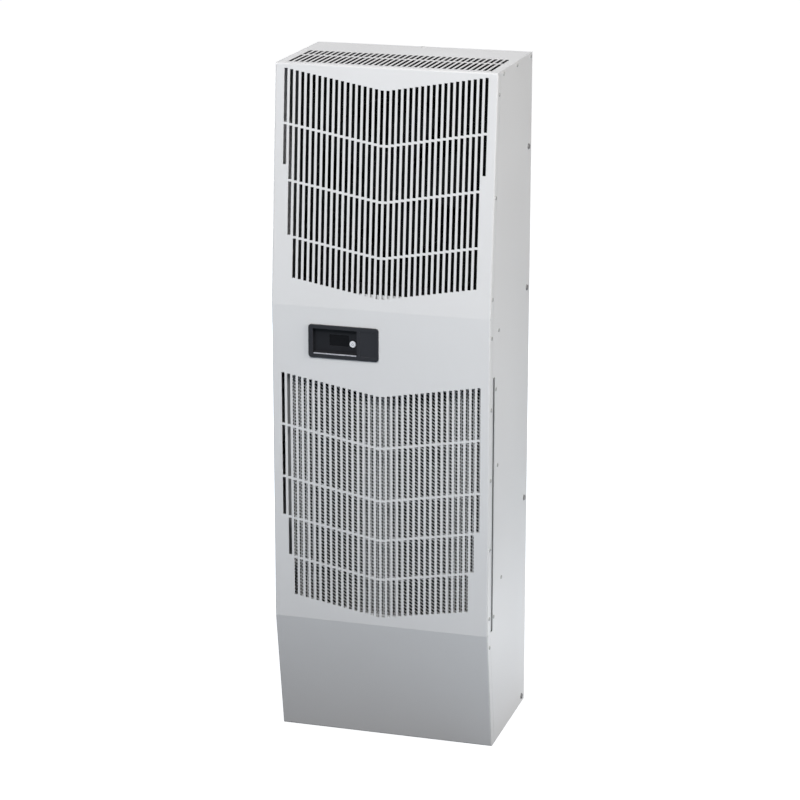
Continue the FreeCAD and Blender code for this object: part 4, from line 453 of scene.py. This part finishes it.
def fin_pack(node, length, height, depth, material, **place):
    """The folded fins of one coil, a row in each gap between its tubes, in place of a CAD node."""
    fins = grown(node.replace("fins", "fin_pack"), zigzag_rows, Folds=int(length / FIN_HALF_PITCH),
                 Half_pitch=FIN_HALF_PITCH, Rise=(TUBE_GAP - FIN_RIBBON) / 2,
                 Rows=round((height + TUBE_PITCH - TUBE_GAP) / TUBE_PITCH), Row_pitch=TUBE_PITCH,
                 Mirror=True, Strip_depth=depth, Strip_thickness=FIN_RIBBON, Finish=material, **place)
    stand_for(fins, "cabinet", "coil_fins", node)


fin_metal = finish("rolled_fin_aluminium", FIN_METAL, rough=0.4, grain=0.0006, depth=0.00001, patch=0.02,
                   tone=0.08, metal=0.9)
zigzag_rows = zigzag_tree()
low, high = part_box("condenser_fins")
fin_pack("condenser_fins", high.x - low.x, high.z - low.z, high.y - low.y, coil_shade_black,
         Start=(low.x, (low.y + high.y) / 2, low.z + TUBE_GAP / 2))
low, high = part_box("evaporator_fins")
stack_height = high.x - low.x
evaporator_turn = Matrix.Rotation(-EVAPORATOR_LEAN, 3, "X") @ Matrix.Rotation(math.pi / 2, 3, "Y")
fin_pack("evaporator_fins", EVAPORATOR_FIN_LENGTH, stack_height, EVAPORATOR_FIN_DEPTH, fin_metal,
         Start=(-EVAPORATOR_FIN_LENGTH / 2, 0.0, -stack_height / 2 + TUBE_GAP / 2),
         Turn=evaporator_turn.to_euler(), Place=(low + high) / 2)

# Blower wheel and run capacitor: curved blades riveted between two spun rings, and a deep-drawn can.
# Both are plain aluminium that has gone dull, like the evaporator's tubes.
coat_nodes(dull_aluminium, "run_capacitor", "blower_wheel")

# Compressor, its accumulator and the filter drier: drawn steel shells with welded seams.
# Black stoving enamel with a deep gloss covers shells, feet and welds alike.
ENAMEL_BLACK = (0.010, 0.010, 0.011, 1.0)
stove_enamel = finish("black_stove_enamel", ENAMEL_BLACK, rough=0.3, grain=0.003, depth=0.00006, patch=0.06,
                      tone=0.2, edge=0.0008, edge_tone=1.5)
coat_nodes(stove_enamel, "compressor", "accumulator", "filter_drier")

# Refrigerant lines: soft copper tube, bent on a mandrel and brazed at each end.
# The copper is darkened in slow patches by handling and by the torch.
COPPER = (0.72, 0.33, 0.19, 1.0)
copper_tube = finish("soft_copper_tube", COPPER, rough=0.32, grain=0.0004, depth=0.00001, patch=0.03,
                     tone=0.22, metal=1.0, rough_spread=0.12)
coat_nodes(copper_tube, "discharge_line", "suction_line", "liquid_line", "expansion_line")

# Grommets and saddles: moulded black rubber that keeps compressor, lines and coil off the sheet.
# The rubber is matt with a faint grey bloom.
RUBBER_BLACK = (0.018, 0.018, 0.018, 1.0)
moulded_rubber = finish("moulded_rubber", RUBBER_BLACK, rough=0.82, grain=0.0007, depth=0.00004, patch=0.03,
                        tone=0.25)
coat_nodes(moulded_rubber, "compressor_grommets", "line_grommets", "coil_saddles")

# Mounting gasket: four strips of closed-cell foam stuck round the back panel, butted at the corners.
# The cut foam shows its open cells.
FOAM_BLACK = (0.022, 0.022, 0.024, 1.0)
FOAM_CELLS_PER_METRE = 900.0


def cut_foam():
    """Cells painted darker as the shade in their pits, with paler walls, bumped down into the surface."""
    made, tree, shader = blank_material("cut_foam")
    feeds = {"Vector": own_place(tree), "Scale": FOAM_CELLS_PER_METRE}
    cells = add(tree, "ShaderNodeTexVoronoi", feeds, feature="F1").outputs["Distance"]
    grains = grained(tree, grain=0.002, patch=0.05)
    wall = ranged(tree, cells, 0.0, 1.0, start=0.1, end=0.6)
    feed(tree, shader, Base_Color=mixed(tree, wall, shaded(FOAM_BLACK, 0.6), shaded(FOAM_BLACK, 1.6)),
         Roughness=ranged(tree, grains["Tone"], 0.86, 0.98), Normal=bumped(tree, cells, 0.0002))
    return made


coat_nodes(cut_foam(), "mounting_gasket")

# Plastic mouldings of the inside and the back: outlet grille, drip tray, gland and electrical bodies.
# Black engineering plastic with a lightly spark-eroded skin.
MOULDING_BLACK = (0.020, 0.020, 0.022, 1.0)
black_moulding = finish("black_moulding", MOULDING_BLACK, rough=0.48, grain=0.0005, depth=0.00004,
                        patch=0.08, tone=0.12, edge_tone=1.8)
coat_nodes(black_moulding, "outlet_grille", "condensate_pan", "cable_gland", "contactor", "terminal_block",
           "controller_module")

# Condensate hose: clear soft tube that drains the drip tray through the base.
# It is a little milky and tinted by the plasticiser.
HOSE_TINT = (0.72, 0.78, 0.76, 1.0)
HOSE_MILK = (0.86, 0.90, 0.88, 1.0)


def soft_hose():
    """Clear plastic with slow milky patches."""
    made, tree, shader = blank_material("clear_soft_hose")
    grains = grained(tree, grain=0.002, patch=0.03)
    feed(tree, shader, Base_Color=mixed(tree, grains["Tone"], HOSE_TINT, HOSE_MILK), IOR=1.5,
         Roughness=ranged(tree, grains["Tone"], 0.15, 0.3), Transmission_Weight=0.8)
    return made


coat_nodes(soft_hose(), "drain_tube")

# Control bezel: a black moulding that snaps into the cover, with a sunk display window and a grip panel.
# Its skin is finely textured, its edges are painted paler as a highlight and as handling wear, and the
# window's walls and floor are painted darker as the shade in the recess.
BEZEL_BLACK = (0.025, 0.026, 0.031, 1.0)
BEZEL_EDGE = 0.0006
WINDOW_SHADE = (0.012, 0.0125, 0.0155, 1.0)
WINDOW_DEPTH = 0.010
WINDOW_FADE_START = 0.002
WINDOW_FADE_END = 0.006


def bezel_plastic():
    """Textured black, with edges painted paler as highlight and wear, and painted shade inside the window.
    """
    made, tree, shader = blank_material("textured_bezel_plastic")
    depth = parts_of(tree, own_place(tree))["Y"]
    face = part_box("control_bezel")[0].y
    sunk = ranged(tree, depth, 0.0, 1.0, start=face + WINDOW_FADE_START, end=face + WINDOW_FADE_END)
    grains = grained(tree, grain=0.0004, patch=0.06)
    edges = edged(tree, BEZEL_EDGE)
    # Edges painted paler, as a highlight and as handling wear.
    skin = mixed(tree, edges["Edge"], BEZEL_BLACK, shaded(BEZEL_BLACK, 1.8))
    # The window's walls and floor are painted darker, as the shade in the recess.
    feed(tree, shader, Base_Color=mixed(tree, sunk, skin, WINDOW_SHADE), Specular_IOR_Level=0.3,
         Roughness=ranged(tree, grains["Tone"], 0.42, 0.52),
         Normal=bumped(tree, grains["Height"], 0.00003, edges["Normal"]))
    return made


coat_nodes(bezel_plastic(), "control_bezel")

# Display lens: a flat plate of smoked acrylic, cut to size and pressed into the window's floor.
# It is polished, and dark as long as the display behind it is off.
LENS_BLACK = (0.006, 0.006, 0.007, 1.0)
smoked_acrylic = finish("smoked_display_glass", LENS_BLACK, rough=0.1, grain=0.02, depth=0.000002, tone=0.1,
                        rough_spread=0.03, shine=0.15)
coat_nodes(smoked_acrylic, "display_lens")

# Window sill trim: a bright strip pressed onto the front half of the window's sloping sill.
# It is a flat strip with rounded edges, and its bright colour is a painted highlight for the light that the
# sill catches under the display.
SILL_HIGHLIGHT_GREY = (0.60, 0.62, 0.68, 1.0)
WINDOW_LEFT = 0.009
WINDOW_WIDTH = 0.088
WINDOW_INSET = 0.0075
WINDOW_LEDGE = 0.0035
TRIM_END_GAP = 0.0015
TRIM_START = 0.04
TRIM_END = 0.33
TRIM_THICK = 0.0007
TRIM_EDGE = 0.0002


def drawn_out(form, outline, run):
    """Add a solid to a form: a ring of corners, drawn out along a run."""
    face = form.faces.new([form.verts.new(corner) for corner in outline])
    moved = bmesh.ops.extrude_face_region(form, geom=[face])["geom"]
    bmesh.ops.translate(form, verts=[v for v in moved if isinstance(v, bmesh.types.BMVert)], vec=run)
    bmesh.ops.recalc_face_normals(form, faces=form.faces)


def piece_of(name, form, material):
    """A new piece of the scene from a finished form."""
    mesh = bpy.data.meshes.new(name)
    form.to_mesh(mesh)
    form.free()
    mesh.materials.append(material)
    piece = bpy.data.objects.new(name, mesh)
    scene.collection.objects.link(piece)
    return piece


sill_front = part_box("control_bezel")[0] + Vector((WINDOW_LEFT + TRIM_END_GAP, 0.0, WINDOW_INSET))
sill_slope = Vector((0.0, WINDOW_DEPTH, WINDOW_LEDGE))
sill_normal = Vector((0.0, -WINDOW_LEDGE, WINDOW_DEPTH)).normalized()
trim_section = [sill_front + sill_slope * TRIM_START, sill_front + sill_slope * TRIM_END]
trim_section += [corner + sill_normal * TRIM_THICK for corner in reversed(trim_section)]
trim_form = bmesh.new()
drawn_out(trim_form, trim_section, (WINDOW_WIDTH - 2 * TRIM_END_GAP, 0.0, 0.0))
sill_highlight_finish = finish("bright_plated_trim", SILL_HIGHLIGHT_GREY, rough=0.3, grain=0.001, depth=0.000004, patch=0.02,
                     tone=0.04, metal=0.35)
sill_highlight_strip = piece_of("window_sill_trim", trim_form, sill_highlight_finish)
trim_bevel = sill_highlight_strip.modifiers.new("rounded", "BEVEL")
trim_bevel.width = TRIM_EDGE
trim_bevel.segments = 2
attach(sill_highlight_strip, "cabinet")

# Power key: a round white moulding that travels in the window floor, with the usual power mark on it.
# Hard glossy plastic.
KEY_WHITE = (0.82, 0.83, 0.86, 1.0)
key_plastic = finish("white_key_plastic", KEY_WHITE, rough=0.3, grain=0.001, depth=0.000005, patch=0.01,
                     tone=0.02)
coat_nodes(key_plastic, "power_button")

# Power mark: an open ring and a bar, printed on the key in grey ink.
# The print stands a few hundredths of a millimetre proud of the face.
INK_GREY = (0.30, 0.31, 0.34, 1.0)
MARK_RADIUS = 0.0024
MARK_LINE = 0.0007
MARK_PROUD = 0.00006
MARK_GAP = math.radians(35.0)
MARK_STEPS = 24
MARK_BAR_LOW = 0.0003
MARK_BAR_HIGH = 0.0031
key_low, key_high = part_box("power_button")
key_centre = Vector(((key_low.x + key_high.x) / 2, key_low.y, (key_low.z + key_high.z) / 2))


def arc(radius, turns):
    """(x, z) points round the key's middle, at turns from the top."""
    return [(math.sin(turn) * radius, math.cos(turn) * radius) for turn in turns]


def printed(form, outline):
    """A raised print on the key's face from a ring of (x, z) points, seen from the front."""
    drawn_out(form, [key_centre + Vector((x, 0.0, z)) for x, z in outline], (0.0, -MARK_PROUD, 0.0))


mark_form = bmesh.new()
mark_turns = [MARK_GAP + (math.tau - 2 * MARK_GAP) * step / MARK_STEPS for step in range(MARK_STEPS + 1)]
printed(mark_form, arc(MARK_RADIUS, mark_turns) + arc(MARK_RADIUS - MARK_LINE, reversed(mark_turns)))
half_line = MARK_LINE / 2
printed(mark_form, [(-half_line, MARK_BAR_LOW), (half_line, MARK_BAR_LOW), (half_line, MARK_BAR_HIGH),
                    (-half_line, MARK_BAR_HIGH)])
grey_ink = finish("grey_ink", INK_GREY, rough=0.6, grain=0.0004, depth=0.000004, patch=0.004, tone=0.1)
power_mark = piece_of("power_mark", mark_form, grey_ink)
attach(power_mark, "power_key")

# Filter frame: an aluminium channel, mitred at the corners, that slides out to the right with its pad.
# The channel is painted a dark grey, as the shade in the narrow slots; its left stile is painted paler and
# its bottom rail bright, as painted light where lit mesh and a lit lip show through the slots.
FILTER_SHADE_GREY = (0.08, 0.081, 0.084, 1.0)
STILE_PAINTED_LIGHT = (0.18, 0.183, 0.188, 1.0)
RAIL_PAINTED_LIGHT = (0.68, 0.685, 0.69, 1.0)
CHANNEL_WIDTH = 0.0128
CHANNEL_FADE = 0.0006


def anodised_channel():
    """Dark grey painted shade; painted light, paler on the left stile and bright on the bottom rail up to
    the right stile.
    """
    made, tree, shader = blank_material("anodised_channel")
    place = parts_of(tree, own_place(tree))
    low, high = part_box("filter_frame")

    def before(axis, end):
        return ranged(tree, place[axis], 1.0, 0.0, start=end - CHANNEL_FADE, end=end)

    stile = before("X", low.x + CHANNEL_WIDTH)
    rail = calc(tree, "MULTIPLY", before("X", high.x - CHANNEL_WIDTH), before("Z", low.z + CHANNEL_WIDTH))
    grains = grained(tree, grain=0.0004, patch=0.04)
    upright = mixed(tree, stile, FILTER_SHADE_GREY, STILE_PAINTED_LIGHT)
    feed(tree, shader, Base_Color=mixed(tree, rail, upright, RAIL_PAINTED_LIGHT),
         Roughness=ranged(tree, grains["Tone"], 0.44, 0.56), Normal=bumped(tree, grains["Height"], 0.00001))
    return made


coat_nodes(anodised_channel(), "filter_frame")

# Filter pad: one sheet of expanded aluminium mesh, held in the frame's channel.
# The sheet is slit and stretched, so its strands are flat, zigzag and joined at the knuckles.
MESH_METAL = (0.74, 0.745, 0.75, 1.0)
MESH_HALF_PITCH = 0.006
MESH_RISE = 0.0034
MESH_LEAN = 0.0041
MESH_STRAND = 0.0009
MESH_STRAND_WIDTH = 0.003
MESH_MARGIN = 0.0018
low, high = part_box("filter_media")
mesh_metal = finish("expanded_mesh_aluminium", MESH_METAL, rough=0.5, grain=0.0008, depth=0.00001,
                    patch=0.03, tone=0.12, metal=0.3)
mesh_rows = int((high.z - low.z - 2 * MESH_MARGIN) / (2 * MESH_RISE))
mesh_folds = int((high.x - low.x - MESH_STRAND_WIDTH) / MESH_HALF_PITCH) + 1
filter_pad = grown(
    "filter_pad", zigzag_rows, Folds=mesh_folds, Half_pitch=MESH_HALF_PITCH, Rise=MESH_RISE, Rows=mesh_rows,
    Row_pitch=2 * MESH_RISE, Lean=MESH_LEAN, Strip_depth=MESH_STRAND, Strip_thickness=MESH_STRAND_WIDTH,
    Start=(low.x + MESH_STRAND_WIDTH / 2, (low.y + high.y) / 2, low.z + MESH_RISE + MESH_MARGIN),
    Finish=mesh_metal)
stand_for(filter_pad, "air_filter", "filter_mesh", "filter_media")

# Panel screws: cross-recess pan-head screws through the sides, and one behind the top.
# Cold headed steel with a dull zinc plating, which the weld nuts and the compressor's studs share.
ZINC_PLATE = (0.50, 0.50, 0.495, 1.0)
SCREW_HEAD = 0.002
SCREW_HEAD_RADIUS = 0.0038
SCREW_RIM = 0.0007
SCREW_SHANK = 0.002
SCREW_LENGTH = 0.006
SCREW_TIP = 0.0009
SCREW_TIP_RADIUS = 0.0014
SCREW_SIDES = 20
DOME_STEPS = 5
RECESS_ARM = 0.0019
RECESS_HALF = 0.00045
RECESS_DEPTH = 0.0011
SIDE_REACH = 0.1
TOUCHING = 1e-6


def lathe(profile, sides):
    """A closed turned form about Z from (radius, height) points that start and end on the axis."""
    form = bmesh.new()
    points = [form.verts.new((radius, 0.0, height)) for radius, height in profile]
    lines = [form.edges.new(pair) for pair in zip(points, points[1:])]
    bmesh.ops.spin(form, geom=points + lines, cent=(0, 0, 0), axis=(0, 0, 1), angle=math.tau, steps=sides,
                   use_merge=True)
    bmesh.ops.remove_doubles(form, verts=form.verts, dist=TOUCHING)
    bmesh.ops.recalc_face_normals(form, faces=form.faces)
    return form


def cross_recess():
    """The driver's cross, to be cut from a screw head's top."""
    arm = [Vector((RECESS_ARM, -RECESS_HALF)), Vector((RECESS_ARM, RECESS_HALF)),
           Vector((RECESS_HALF, RECESS_HALF))]
    outline = [Matrix.Rotation(turn * math.pi / 2, 2) @ point for turn in range(4) for point in arm]
    form = bmesh.new()
    drawn_out(form, [(p.x, p.y, SCREW_HEAD - RECESS_DEPTH) for p in outline], (0.0, 0.0, 2 * RECESS_DEPTH))
    return form


def pan_screw():
    """A screw that points down, with the underside of its head at the origin."""
    turns = [math.pi / 2 * step / DOME_STEPS for step in range(DOME_STEPS)]
    dome = [(SCREW_HEAD_RADIUS * math.cos(turn), SCREW_RIM + (SCREW_HEAD - SCREW_RIM) * math.sin(turn))
            for turn in turns]
    profile = [(0.0, -SCREW_LENGTH), (SCREW_TIP_RADIUS, -SCREW_LENGTH),
               (SCREW_SHANK, SCREW_TIP - SCREW_LENGTH), (SCREW_SHANK, 0.0), (SCREW_HEAD_RADIUS, 0.0),
               *dome, (0.0, SCREW_HEAD)]
    blank = piece_of("pan_screw", lathe(profile, SCREW_SIDES), zinc_plate)
    cutter = piece_of("cross_recess", cross_recess(), zinc_plate)
    cut = blank.modifiers.new("recess", "BOOLEAN")
    cut.object = cutter
    cut.operation = "DIFFERENCE"
    blank.data = settled(blank)
    blank.modifiers.remove(cut)
    bpy.data.objects.remove(cutter)
    return blank


def islands(node):
    """Lowest and highest corners of each separate solid in a CAD node."""
    form = bmesh.new()
    form.from_mesh(frame["nodes"][node].data)
    bmesh.ops.remove_doubles(form, verts=form.verts, dist=TOUCHING)
    left = set(form.verts)
    found = []
    while left:
        group = [left.pop()]
        for point in group:
            linked = {line.other_vert(point) for line in point.link_edges} & left
            left -= linked
            group.extend(linked)
        found.append([Vector(min(p.co[k] for p in group) for k in range(3)),
                      Vector(max(p.co[k] for p in group) for k in range(3))])
    form.free()
    return found


def seat_mesh(node, head):
    """Points under the heads of a CAD node's fasteners, each with the way that its head faces."""
    spots = []
    ways = []
    for low, high in islands(node):
        middle = (low + high) / 2
        side = abs(middle.x) > SIDE_REACH
        way = Vector((math.copysign(1.0, middle.x), 0.0, 0.0)) if side else Vector((0.0, 0.0, 1.0))
        reach = (high - low).dot(Vector(map(abs, way))) / 2 - head
        spots.append(middle + way * reach)
        ways.extend(way)
    mesh = bpy.data.meshes.new(node + "_seats")
    mesh.from_pydata(spots, [], [])
    mesh.attributes.new("facing", "FLOAT_VECTOR", "POINT").data.foreach_set("vector", ways)
    return mesh


def fastener_tree():
    """One fastener on each seat, facing as the seat does and turned at random about its own axis.
    Sockets 2, 3 and 8 of the random node are its lowest value, its highest value and its seed."""
    tree, size, result = node_maker("seated_fasteners", {
        "Fastener": "Object", "Seed": "Int", "Finish": "Material"})
    facing = add(tree, "GeometryNodeInputNamedAttribute", {"Name": "facing"}, data_type="FLOAT_VECTOR")
    aim = {"Vector": facing.outputs[0]}
    aimed = add(tree, "FunctionNodeAlignRotationToVector", aim, axis="Z").outputs[0]
    chance = add(tree, "FunctionNodeRandomValue", {2: 0.0, 3: math.tau, 8: size["Seed"]}, data_type="FLOAT")
    about = give(tree, "ShaderNodeCombineXYZ", Z=chance.outputs[1])
    twist = give(tree, "FunctionNodeEulerToRotation", Euler=about)
    spun = add(tree, "FunctionNodeRotateRotation", {0: aimed, 1: twist}, rotation_space="LOCAL").outputs[0]
    shape = add(tree, "GeometryNodeObjectInfo", {"Object": size["Fastener"]}).outputs["Geometry"]
    placed = give(tree, "GeometryNodeInstanceOnPoints", Points=size["Seats"], Instance=shape, Rotation=spun)
    close_tree(tree, placed, size["Finish"], result)
    return tree


seated_fasteners = fastener_tree()
zinc_plate = finish("zinc_plate", ZINC_PLATE, rough=0.52, grain=0.0005, depth=0.00001, patch=0.01,
                    tone=0.12, metal=0.7)
screw_blank = pan_screw()
for seed, screw_node in enumerate(("cover_screws", "top_screws", "bracket_screws")):
    screws = grown("pan_" + screw_node, seated_fasteners, seats=seat_mesh(screw_node, SCREW_HEAD),
                   Fastener=screw_blank, Seed=seed, Finish=zinc_plate)
    stand_for(screws, "cabinet", "zinc_screws", screw_node)
bpy.data.objects.remove(screw_blank)
coat_nodes(zinc_plate, "weld_nuts", "compressor_studs")

# Side bolts: hexagon flange bolts through the side panels near the back, where the inner frame is held.
# Cold headed steel with a black chromate coat that reads grey all over.
BOLT_GREY = (0.30, 0.30, 0.303, 1.0)
BOLT_SHANK = 0.004
BOLT_LENGTH = 0.010
BOLT_TIP = 0.001
BOLT_TIP_RADIUS = 0.0032
BOLT_FLANGE = 0.0009
BOLT_FLANGE_RADIUS = 0.006
BOLT_FLANGE_RIM = 0.00054
BOLT_FLANGE_TOP_RADIUS = 0.00468
HEX_SIDES = 6
HEX_FOOT = 0.00081
HEX_CORNER_RADIUS = 0.0052
HEX_SHOULDER = 0.00255
HEX_TOP_RADIUS = 0.004472
BOLT_HEAD = 0.003
BOLT_DISH = 0.0004
BOLT_DISH_RADIUS = 0.00312
BOLT_DISH_FLOOR_RADIUS = 0.0026
BOLT_SEED = 7
black_chromate = finish("black_chromate", BOLT_GREY, rough=0.42, grain=0.0005, depth=0.00001, patch=0.01,
                        tone=0.2, metal=0.6)


def flange_bolt():
    """A bolt that points down, with the underside of its flange at the origin."""
    turned = lathe([(0.0, -BOLT_LENGTH), (BOLT_TIP_RADIUS, -BOLT_LENGTH),
                    (BOLT_SHANK, BOLT_TIP - BOLT_LENGTH), (BOLT_SHANK, 0.0), (BOLT_FLANGE_RADIUS, 0.0),
                    (BOLT_FLANGE_RADIUS, BOLT_FLANGE_RIM), (BOLT_FLANGE_TOP_RADIUS, BOLT_FLANGE),
                    (0.0, BOLT_FLANGE)], SCREW_SIDES)
    shank = bpy.data.meshes.new("bolt_shank")
    turned.to_mesh(shank)
    turned.free()
    dish_floor = BOLT_HEAD - BOLT_DISH
    form = lathe([(0.0, HEX_FOOT), (HEX_CORNER_RADIUS, HEX_FOOT), (HEX_CORNER_RADIUS, HEX_SHOULDER),
                  (HEX_TOP_RADIUS, BOLT_HEAD), (BOLT_DISH_RADIUS, BOLT_HEAD),
                  (BOLT_DISH_FLOOR_RADIUS, dish_floor), (0.0, dish_floor)], HEX_SIDES)
    form.from_mesh(shank)
    bpy.data.meshes.remove(shank)
    return piece_of("flange_bolt", form, black_chromate)


bolt_blank = flange_bolt()
bolts = grown("flange_bolts", seated_fasteners, seats=seat_mesh("side_bolts", BOLT_HEAD),
              Fastener=bolt_blank, Seed=BOLT_SEED, Finish=black_chromate)
stand_for(bolts, "cabinet", "black_bolts", "side_bolts")
bpy.data.objects.remove(bolt_blank)

# Blower guard: a finger guard of steel wire rings, spot welded to two crossed bars and plated.
# It lies on the back panel over the blower's eye.
GUARD_WIRE = 0.0016
GUARD_RINGS = 6
GUARD_BARS = 2
RING_SIDES = 56
WIRE_SIDES = 8


def guard_tree():
    """Rings of even spacing, joined by bars that cross on top of them, built flat and facing up."""
    tree, size, result = node_maker("wire_guard", {
        "Radius": "Float", "Rings": "Int", "Bars": "Int", "Wire": "Float", "Bar lift": "Float",
        "Turn": "Rotation", "Place": "Vector", "Finish": "Material"})
    index = add(tree, "GeometryNodeInputIndex").outputs[0]
    middle = give(tree, "ShaderNodeCombineXYZ")
    share = calc(tree, "DIVIDE", calc(tree, "ADD", index, 1.0), size["Rings"])
    flat_scale = give(tree, "ShaderNodeCombineXYZ", X=share, Y=share, Z=1.0)
    circle = give(tree, "GeometryNodeCurvePrimitiveCircle", Resolution=RING_SIDES, Radius=size["Radius"])
    ring_points = give(tree, "GeometryNodeMeshLine", Count=size["Rings"], Offset=middle)
    rings = give(tree, "GeometryNodeInstanceOnPoints", Points=ring_points, Instance=circle,
                 Scale=flat_scale)
    left = calc(tree, "MULTIPLY", size["Radius"], -1.0)
    left_end = give(tree, "ShaderNodeCombineXYZ", X=left, Z=size["Bar lift"])
    right_end = give(tree, "ShaderNodeCombineXYZ", X=size["Radius"], Z=size["Bar lift"])
    bar = give(tree, "GeometryNodeCurvePrimitiveLine", Start=left_end, End=right_end)
    bar_points = give(tree, "GeometryNodeMeshLine", Count=size["Bars"], Offset=middle)
    angle = calc(tree, "DIVIDE", calc(tree, "MULTIPLY", index, math.pi), size["Bars"])
    turn = give(tree, "FunctionNodeEulerToRotation", Euler=give(tree, "ShaderNodeCombineXYZ", Z=angle))
    bars = give(tree, "GeometryNodeInstanceOnPoints", Points=bar_points, Instance=bar, Rotation=turn)
    both = tree.nodes.new("GeometryNodeJoinGeometry")
    for part in (rings, bars):
        tree.links.new(part, both.inputs[0])
    wires = give(tree, "GeometryNodeRealizeInstances", Geometry=both.outputs[0])
    section = give(tree, "GeometryNodeCurvePrimitiveCircle", Resolution=WIRE_SIDES,
                   Radius=calc(tree, "DIVIDE", size["Wire"], 2.0))
    swept = give(tree, "GeometryNodeCurveToMesh", Curve=wires, Profile_Curve=section, Fill_Caps=True)
    placed = give(tree, "GeometryNodeTransform", Geometry=swept, Translation=size["Place"],
                  Rotation=size["Turn"])
    close_tree(tree, placed, size["Finish"], result)
    return tree


low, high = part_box("blower_guard")
guard = grown("wire_blower_guard", guard_tree(), Radius=(high.x - low.x - GUARD_WIRE) / 2,
              Rings=GUARD_RINGS, Bars=GUARD_BARS, Wire=GUARD_WIRE, Bar_lift=high.y - low.y - GUARD_WIRE,
              Turn=(-math.pi / 2, 0.0, 0.0), Finish=zinc_plate,
              Place=((low.x + high.x) / 2, low.y + GUARD_WIRE / 2, (low.z + high.z) / 2))
stand_for(guard, "cabinet", "zinc_screws", "blower_guard")

# Studio: a white seamless floor, the main light high in front, a weaker one above it, a softbox and a low
# bounce to the right, a light overhead and two fills for the sides that the camera does not see.
# The floor is white to the camera, and it throws back less light near the cabinet's foot than farther out.
FLOOR_HALF = 30.0
FLOOR_DARK = (-0.28, 0.0, 0.0)
FLOOR_NEAR = 0.42
FLOOR_FAR = 0.98
FLOOR_SHADE = (0.0, 0.012, 0.030, 1.0)
FLOOR_BOUNCE = (0.375, 0.445, 0.515, 1.0)
FLOOR_CORNERS = ((-1, -1), (1, -1), (1, 1), (-1, 1))
WHITE = (1.0, 1.0, 1.0, 1.0)
WARM_TINT = (1.0, 0.965, 0.92)
AIR_LIGHT = 0.01
floor_mesh = bpy.data.meshes.new("floor")
floor_mesh.from_pydata([(x * FLOOR_HALF, y * FLOOR_HALF, 0) for x, y in FLOOR_CORNERS], [], [(0, 1, 2, 3)])
floor = bpy.data.objects.new("floor", floor_mesh)
scene.collection.objects.link(floor)


def studio_white():
    """White to the camera; to the cabinet a floor that is darker round one place."""
    made, tree, shader = blank_material("studio_white")
    seen = add(tree, "ShaderNodeLightPath").outputs["Is Camera Ray"]
    away = add(tree, "ShaderNodeVectorMath", {0: own_place(tree), 1: FLOOR_DARK}, operation="DISTANCE")
    share = ranged(tree, away.outputs["Value"], 0.0, 1.0, start=FLOOR_NEAR, end=FLOOR_FAR)
    feed(tree, shader, Base_Color=mixed(tree, share, FLOOR_SHADE, FLOOR_BOUNCE), Roughness=0.9,
         Emission_Color=WHITE, Emission_Strength=seen)
    return made


floor.data.materials.append(studio_white())


def softbox(name, place, aim, size, watts, tint=WHITE[:3]):
    """A square area light that faces the aim point and that the camera does not see."""
    lamp = bpy.data.lights.new(name, "AREA")
    lamp.color = tint
    lamp.size = size
    lamp.energy = watts
    box = bpy.data.objects.new(name, lamp)
    box.location = place
    box.rotation_euler = (Vector(aim) - Vector(place)).to_track_quat("-Z", "Y").to_euler()
    box.visible_camera = False
    scene.collection.objects.link(box)


softbox("front_key", (-0.5, -3.4, 3.6), aim=(0.0, 0.0, 0.7), size=1.0, watts=133.0)
softbox("high_key", (0.7, -1.8, 4.2), aim=(0.0, 0.0, 0.6), size=1.4, watts=33.0)
softbox("right_softbox", (2.8, -0.8, 1.8), aim=(0.2, 0.0, 0.9), size=1.0, watts=65.0, tint=WARM_TINT)
softbox("low_right_bounce", (0.62, 0.32, 0.05), aim=(0.216, 0.0, 0.06), size=0.15, watts=1.15)
softbox("top_softbox", (0.0, 0.6, 3.2), aim=(0.0, 0.0, 1.3), size=1.5, watts=23.0)
softbox("left_fill", (-3.0, 1.2, 0.8), aim=(0.0, 0.0, 0.7), size=1.2, watts=45.0)
softbox("back_fill", (-2.0, 2.8, 0.6), aim=(0.0, 0.0, 0.7), size=1.0, watts=55.0)

world = bpy.data.worlds.new("studio_air")
world.use_nodes = True
scene.world = world
air = world.node_tree
backdrop = air.nodes["Background"].inputs
seen_air = add(air, "ShaderNodeLightPath").outputs["Is Camera Ray"]
air.links.new(calc(air, "MULTIPLY_ADD", seen_air, 1.0 - AIR_LIGHT, AIR_LIGHT), backdrop["Strength"])
backdrop["Color"].default_value = WHITE
scene.view_settings.view_transform = "Standard"

# Camera: a long lens to the right of the front and above the middle, looking a little down.
# It has neither shift nor depth of field, so that every other view keeps the whole cabinet in the frame.
CAMERA_PLACE = (1.4837, -4.9903, 2.1895)
CAMERA_YAW = math.radians(16.612)
CAMERA_PITCH = math.radians(16.361)
LENS_MM = 124.66
SENSOR_MM = 36.0
lens = bpy.data.cameras.new("camera")
lens.lens = LENS_MM
lens.sensor_width = SENSOR_MM
camera = bpy.data.objects.new("camera", lens)
camera.location = CAMERA_PLACE
camera.rotation_euler = (math.pi / 2 - CAMERA_PITCH, 0.0, CAMERA_YAW)
scene.collection.objects.link(camera)
scene.camera = camera
